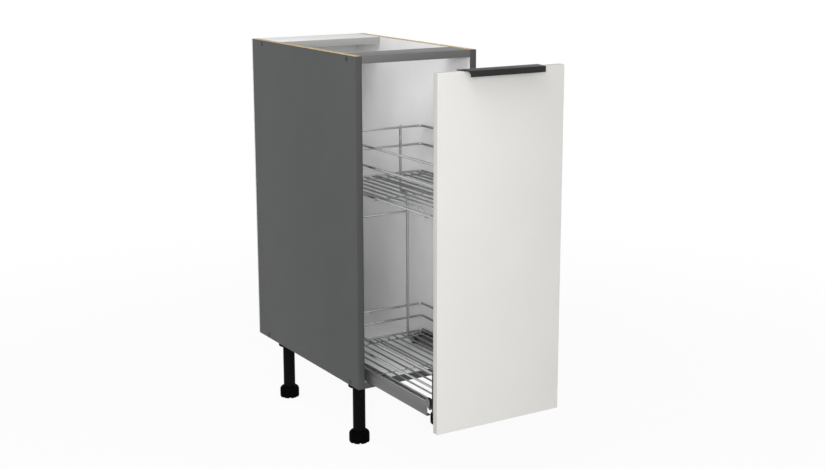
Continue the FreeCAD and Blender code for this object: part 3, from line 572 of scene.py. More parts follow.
@dataclass
class Carcass:
    """Boards, bands, caps and fasteners of the fixed box."""

    cap_radius: float = 5.5 * MM
    cap_dome: float = 0.3 * MM
    cap_root: float = 1.0 * MM
    cap_stem: float = 0.98
    cap_curve: tuple[tuple[float, float], ...] = ((1.0, 0.25), (0.9, 0.65), (0.6, 0.9), (0.2, 1.0))
    board_edge: float = 0.35 * MM
    band_edge: float = 0.6 * MM
    body: str = "carcass"

    def build(self, nodes: dict[str, bpy.types.Object]) -> None:
        """Build every piece of the carcass.

        Args:
            nodes: Objects of the frame's nodes.
        """
        self.side_panels()
        self.inner_boards()
        self.edge_bands()
        self.caps()
        for name in ("confirmat_screws", "back_panel_nails", "leg_screws", "guide_screws",
                     "guide_roller_pins"):
            coat(nodes[name], Palette.ZINC)
        coat(nodes["wooden_dowels"], Palette.BEECH)
        for name, _ in SIDES:
            coat(nodes[f"guide_{name}"], Palette.RUNNER)

    def side_panels(self) -> None:
        """Sides: grey outside, pale inside, with bare chipboard on their edges.

        Their outer face stands back by the height of the caps' domes.
        """
        for name, sign in SIDES:
            low, high = (corner.copy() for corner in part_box(f"side_panel_{name}"))
            (high if sign > 0 else low).x -= sign * self.cap_dome
            inner = Side.RIGHT if sign < 0 else Side.LEFT
            edges = dict.fromkeys((Side.TOP, Side.UNDER, Side.BACK, Side.FRONT), 2)
            panel = Builder(Palette.GREY_BOARD, Palette.PALE_BOARD, Palette.CHIPBOARD)
            panel.block(low, high, self.board_edge, {inner: 1, **edges})
            panel.piece(f"side_board_{name}", self.body, (f"side_panel_{name}",))

    def inner_boards(self) -> None:
        """Bottom, top rails and back; the front rail wears a lighter grey that is painted light."""
        ends = {Side.LEFT: 1, Side.RIGHT: 1}
        # The back rail's front edge gets the darker pale grey, painted shade.
        bare, shaded_front = {**ends, Side.BACK: 1}, {**ends, Side.FRONT: 2}
        # The front rail's board gets the lighter grey, painted light.
        rows = (("bottom_panel", "bottom_board", Palette.PALE_BOARD, bare, "white_board"),
                ("front_top_rail", "front_rail_board", Palette.LIT_RAIL_BAND, bare, "carcass_board"),
                ("back_top_rail", "back_rail_board", Palette.PALE_BOARD, shaded_front, "white_board"))
        for node, name, finish, faces, slot in rows:
            low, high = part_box(node)
            board = Builder(finish, Palette.CHIPBOARD, Palette.SHADED_PALE_BAND)
            board.block(low, high, self.board_edge, faces)
            board.piece(name, self.body, (node,))
        low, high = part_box("back_panel")
        back = Builder(Palette.HARDBOARD)
        back.block(low, high, self.board_edge)
        back.piece("back_board", self.body, ("back_panel",))

    def edge_bands(self) -> None:
        """Grey strips on the front edges, with rounded outer corners; the top strip is a lighter grey that is
        painted light.
        """
        low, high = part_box("edge_banding")
        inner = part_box("bottom_panel")
        board = inner[1].z - inner[0].z
        bands = Builder(Palette.GREY_BAND, Palette.LIT_RAIL_BAND)
        for _, sign in SIDES:
            xs = sorted((sign * inner[1].x, sign * (high.x - self.cap_dome)))
            bands.block(Vector((xs[0], low.y, low.z)), Vector((xs[1], high.y, high.z)), self.band_edge)
        # The bottom strip keeps the plain band grey; the top strip gets the lighter grey, painted light.
        for bottom, number in ((low.z, 0), (high.z - board, 1)):
            bands.block(Vector((inner[0].x, low.y, bottom)), Vector((inner[1].x, high.y, bottom + board)),
                        self.band_edge, number=number)
        bands.piece("edge_bands", self.body, ("edge_banding",))

    def caps(self) -> None:
        """Low domed caps over the screws of the sides."""
        low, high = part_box("screw_caps")
        radius, dome = self.cap_radius, self.cap_dome
        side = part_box("side_panel_right")[1].x - dome
        profile = [(radius * self.cap_stem, -self.cap_root)]
        profile += [(radius * wide, dome * tall) for wide, tall in self.cap_curve] + [(TIP / 2, dome)]
        caps = Builder(Palette.CAP)
        for _, sign in SIDES:
            turned = [(r, sign * h) for r, h in profile]
            for y in (low.y + radius, high.y - radius):
                for z in (low.z + radius, high.z - radius):
                    caps.lathe(turned, Vector((sign * side, y, z)), Axis.X, 28)
        caps.piece("side_screw_caps", self.body, ("screw_caps",))


@dataclass
class PlinthLegs:
    """Sockets, tubes and screw feet of the four legs."""

    slots: int = 8
    slot_share: float = 0.3
    slot_height: float = 8.5 * MM
    slot_depth: float = 5.0 * MM
    slot_from: float = 0.6
    shoulder: float = 8.0 * MM
    foot_rim: float = 2.0 * MM
    foot_gap: float = 0.2 * MM
    stem_radius: float = 7.0 * MM
    stem_chamfer: float = 1.0 * MM
    sole_hole: float = 4.0 * MM
    slot_end: float = 0.9 * MM
    tube_rim: float = 0.8 * MM
    tube_end: float = 5.0 * MM
    socket_round: float = 2.0 * MM
    socket_chamfer: float = 0.4 * MM
    socket_gap: float = 0.1 * MM
    steps: int = 96
    body: str = "carcass"

    def build(self) -> None:
        """Build the four legs."""
        sockets = Builder(Palette.LEG)
        for end in ENDS:
            for side, _ in SIDES:
                self.tube(end, side)
                self.foot(end, side)
                self.socket(sockets, end, side)
        sockets.piece("leg_mounting_sockets", self.body, ("leg_sockets",))

    def centre(self, end: str, side: str) -> tuple[Vector, Vector, Vector]:
        """Axis of a leg tube, with the corners of its box.

        Args:
            end: Front or back leg.
            side: Left or right leg.

        Returns:
            The axis at the tube's lowest point, and the lowest and highest corner of its box.
        """
        low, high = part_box(f"leg_tube_{end}_{side}")
        return Vector(((low.x + high.x) / 2, (low.y + high.y) / 2, low.z)), low, high

    def tube(self, end: str, side: str) -> None:
        """Plain moulded tube with a rounded lower rim.

        Args:
            end: Front or back leg.
            side: Left or right leg.
        """
        centre, low, high = self.centre(end, side)
        radius = (high.x - low.x) / 2
        length = high.z - low.z
        rim = self.tube_rim
        tube = Builder(Palette.LEG)
        profile = [(radius - self.tube_end, 0.0), (radius - rim, 0.0), (radius - 0.2 * rim, 0.2 * rim),
                   (radius, rim), (radius, length * 0.5), (radius, length - rim), (radius - rim, length)]
        tube.lathe(profile, centre, Axis.Z, 48)
        tube.piece(f"leg_pipe_{end}_{side}", self.body, (f"leg_tube_{end}_{side}",))

    def socket(self, sockets: Builder, end: str, side: str) -> None:
        """Round socket under the bottom board, with a softened lower edge.

        Args:
            sockets: Mesh that the socket joins.
            end: Front or back leg.
            side: Left or right leg.
        """
        centre, low, high = self.centre(end, side)
        box_low, box_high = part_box("leg_sockets")
        top, bottom = box_high.z, box_low.z
        outer = box_high.x - centre.x if side == "right" else centre.x - box_low.x
        bore = (high.x - low.x) / 2 + self.socket_gap
        soft, chamfer = self.socket_round, self.socket_chamfer
        profile = [(bore, bottom)] + arc((outer - soft, bottom + soft), soft, -90, 0, 8)
        profile += [(outer, top - chamfer), (outer - chamfer, top), (bore, top)]
        sockets.lathe(profile, Vector((centre.x, centre.y, 0)), Axis.Z, 56)

    def foot(self, end: str, side: str) -> None:
        """Screw foot: rounded shoulders over a lower rim that grip slots cut into lobes.

        Args:
            end: Front or back leg.
            side: Left or right leg.
        """
        low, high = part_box(f"foot_{end}_{side}")
        tube_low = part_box(f"leg_tube_{end}_{side}")[0].z
        radius = (high.x - low.x) / 2
        centre = Vector(((low.x + high.x) / 2, (low.y + high.y) / 2, 0))
        height = tube_low - self.foot_gap
        rim, shoulder = self.foot_rim, self.shoulder
        profile = [(self.sole_hole, 0.0), (radius * 0.55, 0.0), (radius - rim, 0.0),
                   (radius - 0.3 * rim, 0.3 * rim), (radius, rim),
                   (radius, self.slot_height), (radius, self.slot_height + self.slot_end)]
        profile += arc((radius - shoulder, height - shoulder), shoulder, 0, 90, 7) + [(radius * 0.45, height)]
        foot = Builder(Palette.FOOT)
        rings = []
        for reach, z in profile:
            ring = []
            for step in range(self.steps):
                angle = 2 * math.pi * step / self.steps
                slotted = z <= self.slot_height and reach > radius * self.slot_from and self.in_slot(angle)
                size = reach - self.slot_depth if slotted else reach
                place = centre + Vector((size * math.cos(angle), size * math.sin(angle), z))
                ring.append(foot.mesh.verts.new(place))
            rings.append(ring)
        foot.skin(rings)
        stem, chamfer = self.stem_radius, self.stem_chamfer
        foot.lathe([(stem, height - chamfer), (stem, high.z - chamfer), (stem - chamfer, high.z)],
                   centre, Axis.Z, 32)
        foot.piece(f"screw_foot_{end}_{side}", f"body_foot_{end}_{side}",
                   (f"foot_{end}_{side}",), 40)

    def in_slot(self, angle: float) -> bool:
        """Whether a grip slot lies at an angle of the rim."""
        turn = (angle * self.slots / (2 * math.pi)) % 1.0
        return abs(turn - 0.5) * 2 < self.slot_share


@dataclass
class FrontPanel:
    """Front board with softened edges, which carry painted shade as a darker copy of its foil, and its
    bumpers.
    """

    edge: float = 1.2 * MM
    bumper_radius: float = 4.5 * MM
    bumper_edge: float = 0.5 * MM
    bumper_shoulder: float = 1.2 * MM
    body: str = "pullout"

    def build(self) -> None:
        """Build the board and the four bumpers."""
        low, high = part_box("front_panel")
        board = Builder(Palette.FRONT_FOIL, Palette.SHADED_FRONT_BAND)
        # The four edges take the darker foil copy, painted shade.
        board.block(low, high, self.edge, dict.fromkeys((Side.LEFT, Side.RIGHT, Side.UNDER, Side.TOP), 1), 4)
        board.piece("front_board", self.body, ("front_panel",), 50)
        low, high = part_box("front_bumpers")
        radius, height = self.bumper_radius, high.y - low.y
        profile = [(radius, 0.0), (radius, self.bumper_edge), (radius * 0.85, self.bumper_shoulder),
                   (radius * 0.5, height), (TIP, height)]
        stops = Builder(Palette.SILICONE)
        for x in (low.x + radius, high.x - radius):
            for z in (low.z + radius, high.z - radius):
                stops.lathe(profile, Vector((x, low.y, z)), Axis.Y, 28)
        stops.piece("soft_stops", self.body, ("front_bumpers",))


@dataclass
class EdgePull:
    """Black edge handle: a plate, a lip with a cove behind it and a rear flange."""

    plate: float = 2.0 * MM
    lip_height: float = 12.0 * MM
    lip: float = 2.0 * MM
    cove: float = 9.0 * MM
    cove_end: float = 176
    flange: float = 1.5 * MM
    end_slant: float = 8.5 * MM
    soft: float = 0.5 * MM
    end_round: float = 0.25 * MM
    body: str = "pullout"

    def build(self, nodes: dict[str, bpy.types.Object]) -> None:
        """Build the profile with its slanted ends.

        Args:
            nodes: Objects of the frame's nodes.
        """
        low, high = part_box("handle")
        top, front, back, under = high.z, low.y, high.y, low.z
        panel_top = top - self.plate
        lip_under = top - self.lip_height
        soft = self.soft
        section = []
        section += arc((front + soft, top - soft), soft, 180, 90, 4)
        section += arc((back - soft, top - soft), soft, 90, 0, 4)
        section += [(back, under), (back - self.flange, under), (back - self.flange, panel_top)]
        section += arc((front + self.lip + self.cove, panel_top - self.cove), self.cove, 90,
                       self.cove_end, 12)
        section += arc((front + self.lip / 2, lip_under + self.lip / 2), self.lip / 2, 0, -180, 8)
        pull = Builder(Palette.BLACK_COAT)
        vertices = pull.prism(section, Axis.X, low.x, high.x)
        for vertex in vertices:
            share = (back - vertex.co.y) / (back - front)
            vertex.co.x -= math.copysign(self.end_slant * max(0.0, share), vertex.co.x)
        rims = [edge for edge in pull.mesh.edges
                if abs(edge.verts[0].co.x - edge.verts[1].co.x) < self.end_slant]
        bmesh.ops.bevel(pull.mesh, geom=rims, offset=self.end_round, segments=2, profile=0.5, affect="EDGES")
        pull.piece("edge_pull", self.body, ("handle",), 40)
        coat(nodes["handle_screws"], Palette.ZINC)


@dataclass
class WireBasket:
    """One basket of welded wire: floor, guard rails and uprights."""

    tier: str
    frame_radius: float = 2.5 * MM
    floor_radius: float = 2.0 * MM
    corner: float = 8.0 * MM
    per_side: int = 6
    centre_gap: float = 10.5 * MM
    edge_gap: float = 14.75 * MM
    front_inset: float = 42.0 * MM
    rear_inset: float = 20.0 * MM
    weld_sink: float = 0.6 * MM
    bead_radius: float = 1.5 * MM
    bead_height: float = 0.9 * MM
    bead_share: float = 0.7
    upright_spread: float = 60.0 * MM
    arc_steps: int = 10
    body: str = "pullout"

    def build(self) -> None:
        """Build the floor, both rails and the uprights."""
        self.floor()
        for rail in ("mid", "top"):
            low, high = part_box(f"{self.tier}_basket_{rail}_rail")
            ring = Builder(Palette.CHROME)
            self.ring(ring, low, high)
            ring.piece(f"{self.tier}_{rail}_guard", self.body,
                       (f"{self.tier}_basket_{rail}_rail",))
        self.uprights()

    def ring(self, mesh: Builder, low: Vector, high: Vector) -> None:
        """Add a closed frame wire with rounded corners that fills a box.

        Args:
            mesh: Mesh that the wire joins.
            low: Lowest corner of the box.
            high: Highest corner of the box.
        """
        radius = self.frame_radius
        z = high.z - radius
        x0, x1, y0, y1 = low.x + radius, high.x - radius, low.y + radius, high.y - radius
        bend = self.corner
        corners = (((x1 - bend, y1 - bend), 0), ((x0 + bend, y1 - bend), 90),
                   ((x0 + bend, y0 + bend), 180), ((x1 - bend, y0 + bend), 270))
        path = [Vector((x, y, z)) for middle, angle in corners
                for x, y in arc(middle, bend, angle, angle + 90, self.arc_steps)]
        mesh.tube(path, radius, closed=True)

    def floor(self) -> None:
        """Floor frame, long floor wires, cross wires and the weld spots where they meet."""
        low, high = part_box(f"{self.tier}_basket_floor")
        z = high.z - self.frame_radius
        floor = Builder(Palette.CHROME)
        self.ring(floor, low, high)
        half = high.x - self.frame_radius
        y0, y1 = low.y + self.frame_radius, high.y - self.frame_radius
        pitch = (half - self.edge_gap - self.centre_gap / 2) / (self.per_side - 1)
        floor_z = z - self.frame_radius + self.floor_radius
        cross_z = z - self.frame_radius - self.floor_radius
        first, last = y0 + self.front_inset, y1 - self.rear_inset
        crossings = (first, (first + last) / 2, last)
        sink = self.weld_sink
        for sign in (-1, 1):
            for number in range(self.per_side):
                x = sign * (self.centre_gap / 2 + number * pitch)
                floor.tube([Vector((x, y0 + sink, floor_z)), Vector((x, y1 - sink, floor_z))],
                           self.floor_radius)
                for y in crossings:
                    self.weld(floor, Vector((x, y, floor_z - self.floor_radius)))
        for y in crossings:
            floor.tube([Vector((-half, y, cross_z)), Vector((half, y, cross_z))], self.floor_radius, dome=0.5)
            for sign in (-1, 1):
                self.weld(floor, Vector((sign * half, y, cross_z + self.floor_radius)))
        floor.piece(f"{self.tier}_wire_floor", self.body, (f"{self.tier}_basket_floor",))

    def weld(self, mesh: Builder, middle: Vector) -> None:
        """Add the flattened bead of a spot weld.

        Args:
            mesh: Mesh that the bead joins.
            middle: Point where the two wires touch.
        """
        wide, high = self.bead_radius, self.bead_height
        side, rise = wide * self.bead_share, high * self.bead_share
        profile = [(1.5 * TIP, -high), (side, -rise), (wide, 0.0), (side, rise), (1.5 * TIP, high)]
        mesh.lathe(profile, middle, Axis.Z, 10)

    def uprights(self) -> None:
        """Short upright wires that join the rails to the floor frame."""
        low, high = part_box(f"{self.tier}_basket_uprights")
        radius = self.floor_radius
        spots = [(sign * (high.x - radius), high.y - radius) for sign in (-1, 1)]
        spots += [(sign * self.upright_spread, low.y + radius) for sign in (-1, 1)]
        posts = Builder(Palette.CHROME)
        for x, y in spots:
            posts.tube([Vector((x, y, low.z)), Vector((x, y, high.z))], radius, dome=0.6)
        posts.piece(f"{self.tier}_upright_wires", self.body,
                    (f"{self.tier}_basket_uprights",))


@dataclass
class RearHanger:
    """Rods behind the upper basket that jog forward into the lower one, and their tie bar."""

    radius: float = 3.0 * MM
    bend: float = 9.0 * MM
    jog_drop: float = 44.0 * MM
    bar_radius: float = 2.5 * MM
    bar_overlap: float = 0.5 * MM
    body: str = "pullout"

    def build(self) -> None:
        """Build both rods and the bar."""
        floor_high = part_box("upper_basket_floor")[1]
        jog_z = floor_high.z - WireBasket.frame_radius - self.jog_drop
        for side, _ in SIDES:
            low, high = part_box(f"rear_rod_{side}")
            x = (low.x + high.x) / 2
            near, far = low.y + self.radius, high.y - self.radius
            upper = arc((far - self.bend, jog_z + self.bend), self.bend, 0, -90, 8)
            lower = arc((near + self.bend, jog_z - self.bend), self.bend, 90, 180, 8)
            path = [Vector((x, far, high.z))] + [Vector((x, y, z)) for y, z in upper + lower]
            path.append(Vector((x, near, low.z)))
            rod = Builder(Palette.CHROME)
            rod.tube(path, self.radius, dome=0.4)
            rod.piece(f"hanger_rod_{side}", self.body, (f"rear_rod_{side}",))
        low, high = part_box("rear_tie_bar")
        middle = (low + high) / 2
        reach = (low.x - self.bar_overlap, high.x + self.bar_overlap)
        bar = Builder(Palette.CHROME)
        bar.tube([Vector((x, middle.y, middle.z)) for x in reach], self.bar_radius)
        bar.piece("hanger_bar", self.body, ("rear_tie_bar",))


@dataclass
class Runners:
    """Moving runners with their cross tube, rollers and pins."""

    sheet: float = 1.5 * MM
    lip: float = 9.5 * MM
    shelf: float = 20.0 * MM
    inner_gap: float = 1.0 * MM
    rim_height: float = 2.2 * MM
    groove_height: float = 17.0 * MM
    groove_line: tuple[tuple[float, float], ...] = (
        (0.0, -2.2), (0.115, -1.4), (1.0, 1.2), (1.0, 2.4), (0.6, 5.5))
    dent: float = 1.3 * MM
    fold: float = 0.6 * MM
    cover_width: float = 9.0 * MM
    cover_length: float = 24.0 * MM
    cover_drop: float = 6.0 * MM
    tab_width: float = 17.0 * MM
    tab_height: float = 14.5 * MM
    tab_edge: float = 0.2 * MM
    cover_edge: float = 0.15 * MM
    inner_chamfer: float = 0.4 * MM
    carriage_bore: float = 2.05 * MM
    guide_bore: float = 2.55 * MM
    hub_recess: float = 0.9 * MM
    hub_set_back: float = 0.3 * MM
    hub_wall: float = 1.2 * MM
    rim_wall: float = 1.4 * MM
    wall_slant: float = 0.4 * MM
    tread_chamfer: float = 0.5 * MM
    body: str = "pullout"

    def build(self, nodes: dict[str, bpy.types.Object]) -> None:
        """Build both runners, the tube and the rollers.

        Args:
            nodes: Objects of the frame's nodes.
        """
        for side, sign in SIDES:
            self.runner(side, sign)
            self.roller(f"carriage_roller_{side}")
            for end in ("front", "rear"):
                self.roller(f"guide_roller_{end}_{side}")
        low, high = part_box("front_cross_tube")
        middle = (low + high) / 2
        tube = Builder(Palette.RUNNER)
        tube.tube([Vector((low.x, middle.y, middle.z)), Vector((high.x, middle.y, middle.z))],
                  (high.z - low.z) / 2, sides=24, dome=0.1)
        tube.piece("cross_tube", self.body, ("front_cross_tube",))
        coat(nodes["carriage_pins"], Palette.ZINC)

    def runner(self, side: str, sign: int) -> None:
        """One stepped sheet profile with a rolled groove, a stop tab and a cover over its rear roller.

        Args:
            side: Left or right.
            sign: -1 on the left, 1 on the right.
        """
        low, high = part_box(f"runner_{side}")
        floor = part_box("bottom_panel")[1].z
        outer = max(abs(low.x), abs(high.x))
        hood = min(abs(low.x), abs(high.x))
        inner = hood + self.cover_width
        shelf, under, top, thk = floor + self.shelf, low.z, high.z, self.sheet
        web = outer - thk
        inner_bottom = floor + self.inner_gap
        groove, dent, fold = floor + self.groove_height, self.dent, self.fold
        bead = [(dent * share, groove + rise * MM) for share, rise in self.groove_line]
        section = [(outer - self.lip, under), (outer - fold, under)]
        section += arc((outer - fold, under + fold), fold, -90, 0, 5)
        section += [(outer - depth, z) for depth, z in bead] + [(outer, top - self.rim_height)]
        section += arc((outer - thk / 2, top - thk / 2), thk / 2, 0, 180, 6)
        section += [(web, top - self.rim_height), (web - bead[-1][0], bead[-1][1]), (web - dent, shelf)]
        section += arc((inner + thk, shelf - thk), thk, 90, 180, 5)
        section += [(inner, inner_bottom), (inner + thk, inner_bottom),
                    (inner + thk, shelf - thk - self.inner_chamfer),
                    (inner + thk + self.inner_chamfer, shelf - thk), (web, shelf - thk),
                    (web, under + thk), (outer - self.lip, under + thk)]
        profile = Builder(Palette.RUNNER)
        profile.prism([(sign * x, z) for x, z in section], Axis.Y, low.y, high.y)
        xs = sorted((sign * (inner + thk), sign * (inner + thk + self.tab_width)))
        profile.block(Vector((xs[0], high.y - thk, shelf - thk - self.tab_height)),
                      Vector((xs[1], high.y, shelf - thk)), self.tab_edge)
        cover = [(inner + thk, shelf - thk), (inner + thk, shelf)]
        cover += arc((hood + thk, shelf - thk), thk, 90, 180, 5)
        cover += [(hood, shelf - self.cover_drop), (hood + thk, shelf - self.cover_drop),
                  (hood + thk, shelf - thk)]
        start = high.y - self.cover_length
        profile.prism([(sign * x, z) for x, z in cover], Axis.Y, start, high.y, self.cover_edge)
        profile.piece(f"runner_profile_{side}", self.body, (f"runner_{side}",))

    def roller(self, node: str) -> None:
        """Nylon roller with a recessed hub.

        Args:
            node: Node that the roller replaces.
        """
        low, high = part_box(node)
        middle = (low + high) / 2
        radius, half, soft = (high.z - low.z) / 2, (high.x - low.x) / 2, self.tread_chamfer
        bore = self.carriage_bore if node.startswith("carriage") else self.guide_bore
        hub, face, dish = bore + self.hub_wall, half - self.hub_set_back, half - self.hub_recess
        rim, slant = radius - self.rim_wall, self.wall_slant
        side = [(bore, face), (hub, face), (hub + slant, dish), (rim - slant, dish), (rim, half),
                (radius - soft, half), (radius, half - soft)]
        profile = side + [(r, -h) for r, h in reversed(side)]
        roller = Builder(Palette.NYLON)
        roller.lathe(profile, middle, Axis.X, 40)
        roller.piece(f"{node}_wheel", f"body_{node}", (node,))


@dataclass
class Brackets:
    """Angle brackets behind the front panel, with their pan-head screws and clamp screws."""

    sheet: float = 1.5 * MM
    head_radius: float = 3.75 * MM
    head_height: float = 1.5 * MM
    head_edge: float = 0.5 * MM
    head_curve: tuple[tuple[float, float], ...] = ((0.86, 0.72), (0.5, 0.96), (0.3, 1.0), (0.22, 0.55))
    inset: float = 18.0 * MM
    reach: float = 34.0 * MM
    bend: float = 2.5 * MM
    plate_edge: float = 0.2 * MM
    ear_edge: float = 0.15 * MM
    ear_radius: float = 10.5 * MM
    shank: float = 2.5 * MM
    shoulder: float = 4.0 * MM
    rim: float = 0.7 * MM
    body: str = "pullout"

    def build(self) -> None:
        """Build the four brackets, their screws and the clamp screws."""
        screws = Builder(Palette.ZINC)
        clamps = Builder(Palette.CLAMP)
        for tier in ("lower", "upper"):
            for side, sign in SIDES:
                self.bracket(tier, side, sign)
                self.screws(screws, tier, side)
        for _, sign in SIDES:
            self.clamp(clamps, sign)
        screws.piece("bracket_screw_set", self.body, ("bracket_screws",))
        clamps.piece("clamp_screw_set", self.body, ("clamp_screws",))

    def clamp(self, clamps: Builder, sign: int) -> None:
        """Clamp screw with a round dished head, outside the runner.

        Args:
            clamps: Mesh that the screw joins.
            sign: -1 on the left, 1 on the right.
        """
        low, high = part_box("clamp_screws")
        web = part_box("lower_bracket_right")[1].x
        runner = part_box("runner_right")[1].x
        radius, top = (high.z - low.z) / 2, high.x
        shank, shoulder, rim = self.shank, self.shoulder, self.rim
        profile = [(shank, web - self.sheet), (shank, web), (shoulder, web), (shoulder, runner),
                   (radius - rim, runner), (radius, runner + rim), (radius, top - rim),
                   (radius - 0.3 * rim, top - 0.3 * rim), (radius - rim, top), (radius - 2.4 * rim, top),
                   (radius - 3.2 * rim, top - rim), (shoulder * 0.5, top - rim),
                   (shoulder * 0.4, top - 2 * rim), (TIP, top - 2 * rim)]
        middle = Vector((0, (low.y + high.y) / 2, (low.z + high.z) / 2))
        clamps.lathe([(r, sign * x) for r, x in profile], middle, Axis.X, 40)

    def bracket(self, tier: str, side: str, sign: int) -> None:
        """One angle of sheet, with a rounded bend and softened corners.

        Args:
            tier: Lower or upper basket.
            side: Left or right.
            sign: -1 on the left, 1 on the right.
        """
        low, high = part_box(f"{tier}_bracket_{side}")
        outer, inner = max(abs(low.x), abs(high.x)), min(abs(low.x), abs(high.x))
        thk, bend = self.sheet, self.bend
        end = high.y if tier == "upper" else low.y + self.reach
        plan = [(inner, low.y), (outer - bend, low.y)]
        plan += arc((outer - bend, low.y + bend), bend, -90, 0, 6)
        plan += [(outer, end), (outer - thk, end)]
        plan += arc((outer - bend, low.y + bend), bend - thk, 0, -90, 4)
        plan += [(inner, low.y + thk)]
        bracket = Builder(Palette.BRACKET)
        bracket.prism([(sign * x, y) for x, y in plan], Axis.Z, low.z, high.z, self.plate_edge)
        if tier == "lower":
            clamp_low, clamp_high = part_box("clamp_screws")
            y, z = (clamp_low.y + clamp_high.y) / 2, (clamp_low.z + clamp_high.z) / 2
            radius = self.ear_radius
            ear = [(end, z - radius)] + arc((y, z), radius, -90, 90, 14) + [(end, z + radius)]
            xs = sorted((sign * (outer - thk), sign * outer))
            bracket.prism(ear, Axis.X, xs[0], xs[1], self.ear_edge)
        bracket.piece(f"{tier}_angle_{side}", self.body, (f"{tier}_bracket_{side}",))

    def screws(self, screws: Builder, tier: str, side: str) -> None:
        """Pan heads with a small dish on the flange of one bracket.

        Args:
            screws: Mesh that the heads join.
            tier: Lower or upper basket.
            side: Left or right.
        """
        low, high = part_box(f"{tier}_bracket_{side}")
        face = low.y + self.sheet
        flange = high.x - low.x - self.sheet
        middle = (low.x + flange / 2) if side == "right" else (high.x - flange / 2)
        radius, height = self.head_radius, self.head_height
        profile = [(radius, 0.0), (radius, self.head_edge)]
        profile += [(radius * wide, height * tall) for wide, tall in self.head_curve]
        profile += [(TIP, height * 0.5)]
        for z in (low.z + self.inset, high.z - self.inset):
            screws.lathe(profile, Vector((middle, face, z)), Axis.Y, 24)


def seen_directly(tree: bpy.types.NodeTree) -> bpy.types.NodeSocket:
    """Value that is 1 for rays of the camera and for what metal or glass shows.

    Args:
        tree: Tree that gets the nodes.

    Returns:
        The value's socket.
    """
    path = tree.nodes.new("ShaderNodeLightPath")
    value = path.outputs["Is Camera Ray"]
    for name in ("Is Glossy Ray", "Is Transmission Ray"):
        either = tree.nodes.new("ShaderNodeMath")
        either.operation = "MAXIMUM"
        tree.links.new(value, either.inputs[0])
        tree.links.new(path.outputs[name], either.inputs[1])
        value = either.outputs[0]
    return value


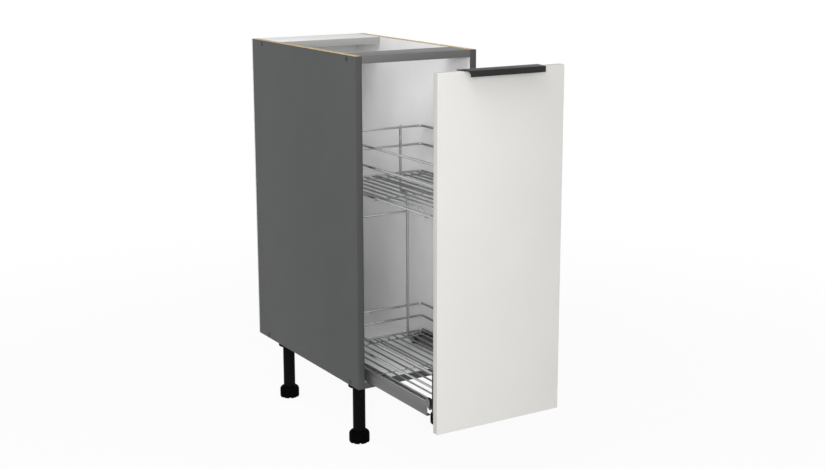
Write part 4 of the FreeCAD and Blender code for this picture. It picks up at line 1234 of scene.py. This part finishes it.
@dataclass
class Studio:
    """Pale floor, soft lamps and the camera at the photograph's angle."""

    image_width: float = 825.0
    sensor: float = 36.0
    focal_px: float = 1366.5
    eye: tuple[float, float, float] = (-1.5107, -2.5392, 1.1494)
    yaw: float = 31.894
    pitch: float = 12.084
    shift: tuple[float, float] = (-0.0147, -0.03)
    aim: tuple[float, float, float] = (0.0, 0.0, 0.45)
    floor_size: float = 30.0
    floor_shade: float = 0.97
    floor_rough: float = 0.9
    ambient: float = 0.46
    floor_glow: tuple[float, float] = (0.92, 1.0)
    floor_fade: tuple[float, float] = (0.7, 2.4)
    lamps: list[tuple[str, tuple[float, float, float], float, float]] = field(default_factory=lambda: [
        ("top_softbox", (-1.4, -0.9, 3.0), 1.6, 28.0),
        ("left_softbox", (-1.75, -2.85, 1.25), 1.3, 49.0)])

    def build(self) -> None:
        """Build the floor, the world, the lamps and the camera."""
        self.floor()
        self.world()
        for name, place, size, power in self.lamps:
            self.lamp(name, Vector(place), size, power)
        self.camera()
        bpy.context.scene.view_settings.view_transform = "Standard"

    def floor(self) -> None:
        """White floor that keeps a soft shadow and is lost in the white surroundings further out."""
        data = bpy.data.meshes.new("studio_floor")
        half = self.floor_size / 2
        corners = [(-half, -half, 0), (half, -half, 0), (half, half, 0), (-half, half, 0)]
        data.from_pydata(corners, [], [(0, 1, 2, 3)])
        graph = Graph("studio_floor")
        graph.shader.inputs["Base Color"].default_value = (*[self.floor_shade] * 3, 1)
        graph.shader.inputs["Roughness"].default_value = self.floor_rough
        graph.shader.inputs["Specular IOR Level"].default_value = 0.0
        reach = graph.add("ShaderNodeVectorMath", operation="LENGTH")
        graph.link(graph.place, reach.inputs[0])
        fade = graph.add("ShaderNodeMapRange")
        fade.interpolation_type = "SMOOTHSTEP"
        fade.inputs["From Min"].default_value, fade.inputs["From Max"].default_value = self.floor_fade
        fade.inputs["To Min"].default_value, fade.inputs["To Max"].default_value = self.floor_glow
        graph.link(reach.outputs["Value"], fade.inputs["Value"])
        share = graph.add("ShaderNodeMath", operation="MULTIPLY")
        graph.link(seen_directly(graph.tree), share.inputs[0])
        graph.link(fade.outputs["Result"], share.inputs[1])
        white = graph.add("ShaderNodeEmission")
        mix = graph.add("ShaderNodeMixShader")
        graph.link(share.outputs[0], mix.inputs["Fac"])
        graph.link(graph.shader.outputs[0], mix.inputs[1])
        graph.link(white.outputs[0], mix.inputs[2])
        graph.link(mix.outputs[0], graph.tree.nodes["Material Output"].inputs["Surface"])
        data.materials.append(graph.material)
        floor = bpy.data.objects.new("studio_floor", data)
        bpy.context.scene.collection.objects.link(floor)
        floor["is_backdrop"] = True

    def world(self) -> None:
        """White surroundings for the camera and for reflections, softer for the light they give."""
        world = bpy.data.worlds.new("studio")
        bpy.context.scene.world = world
        world.use_nodes = True
        tree = world.node_tree
        tree.nodes.clear()
        glow = tree.nodes.new("ShaderNodeBackground")
        glow.inputs["Color"].default_value = (1, 1, 1, 1)
        glow.inputs["Strength"].default_value = self.ambient
        white = tree.nodes.new("ShaderNodeBackground")
        white.inputs["Color"].default_value = (1, 1, 1, 1)
        white.inputs["Strength"].default_value = 1.0
        mix = tree.nodes.new("ShaderNodeMixShader")
        tree.links.new(seen_directly(tree), mix.inputs["Fac"])
        tree.links.new(glow.outputs[0], mix.inputs[1])
        tree.links.new(white.outputs[0], mix.inputs[2])
        tree.links.new(mix.outputs[0], tree.nodes.new("ShaderNodeOutputWorld").inputs["Surface"])

    def lamp(self, name: str, place: Vector, size: float, power: float) -> None:
        """One square softbox that looks at the middle of the cabinet.

        Args:
            name: Name of the lamp.
            place: Where it stands.
            size: Side of the square.
            power: Power in watts.
        """
        data = bpy.data.lights.new(name, "AREA")
        data.size = size
        data.energy = power
        lamp = bpy.data.objects.new(name, data)
        lamp.visible_camera = False
        lamp.location = place
        lamp.rotation_euler = (Vector(self.aim) - place).to_track_quat("-Z", "Y").to_euler()
        bpy.context.scene.collection.objects.link(lamp)

    def camera(self) -> None:
        """Camera at the photograph's angle, with the small shift of its framing."""
        data = bpy.data.cameras.new("studio_camera")
        data.sensor_width = self.sensor
        data.lens = self.focal_px / self.image_width * self.sensor
        data.shift_x, data.shift_y = self.shift
        camera = bpy.data.objects.new("studio_camera", data)
        camera.location = self.eye
        camera.rotation_euler = (math.radians(90 - self.pitch), 0, math.radians(-self.yaw))
        bpy.context.scene.collection.objects.link(camera)
        bpy.context.scene.camera = camera


def corners() -> list[list[float]]:
    """Corners of the whole object's box as plain lists."""
    return [list(corner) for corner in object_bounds()]


def main() -> None:
    """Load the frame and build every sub-assembly."""
    logging.basicConfig(level=logging.INFO, format="%(name)s: %(message)s")
    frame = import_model()
    nodes = frame["nodes"]
    Carcass().build(nodes)
    PlinthLegs().build()
    FrontPanel().build()
    EdgePull().build(nodes)
    for tier in ("lower", "upper"):
        WireBasket(tier).build()
    RearHanger().build()
    Runners().build(nodes)
    Brackets().build()
    Studio().build()


if __name__ == "__main__":
    main()
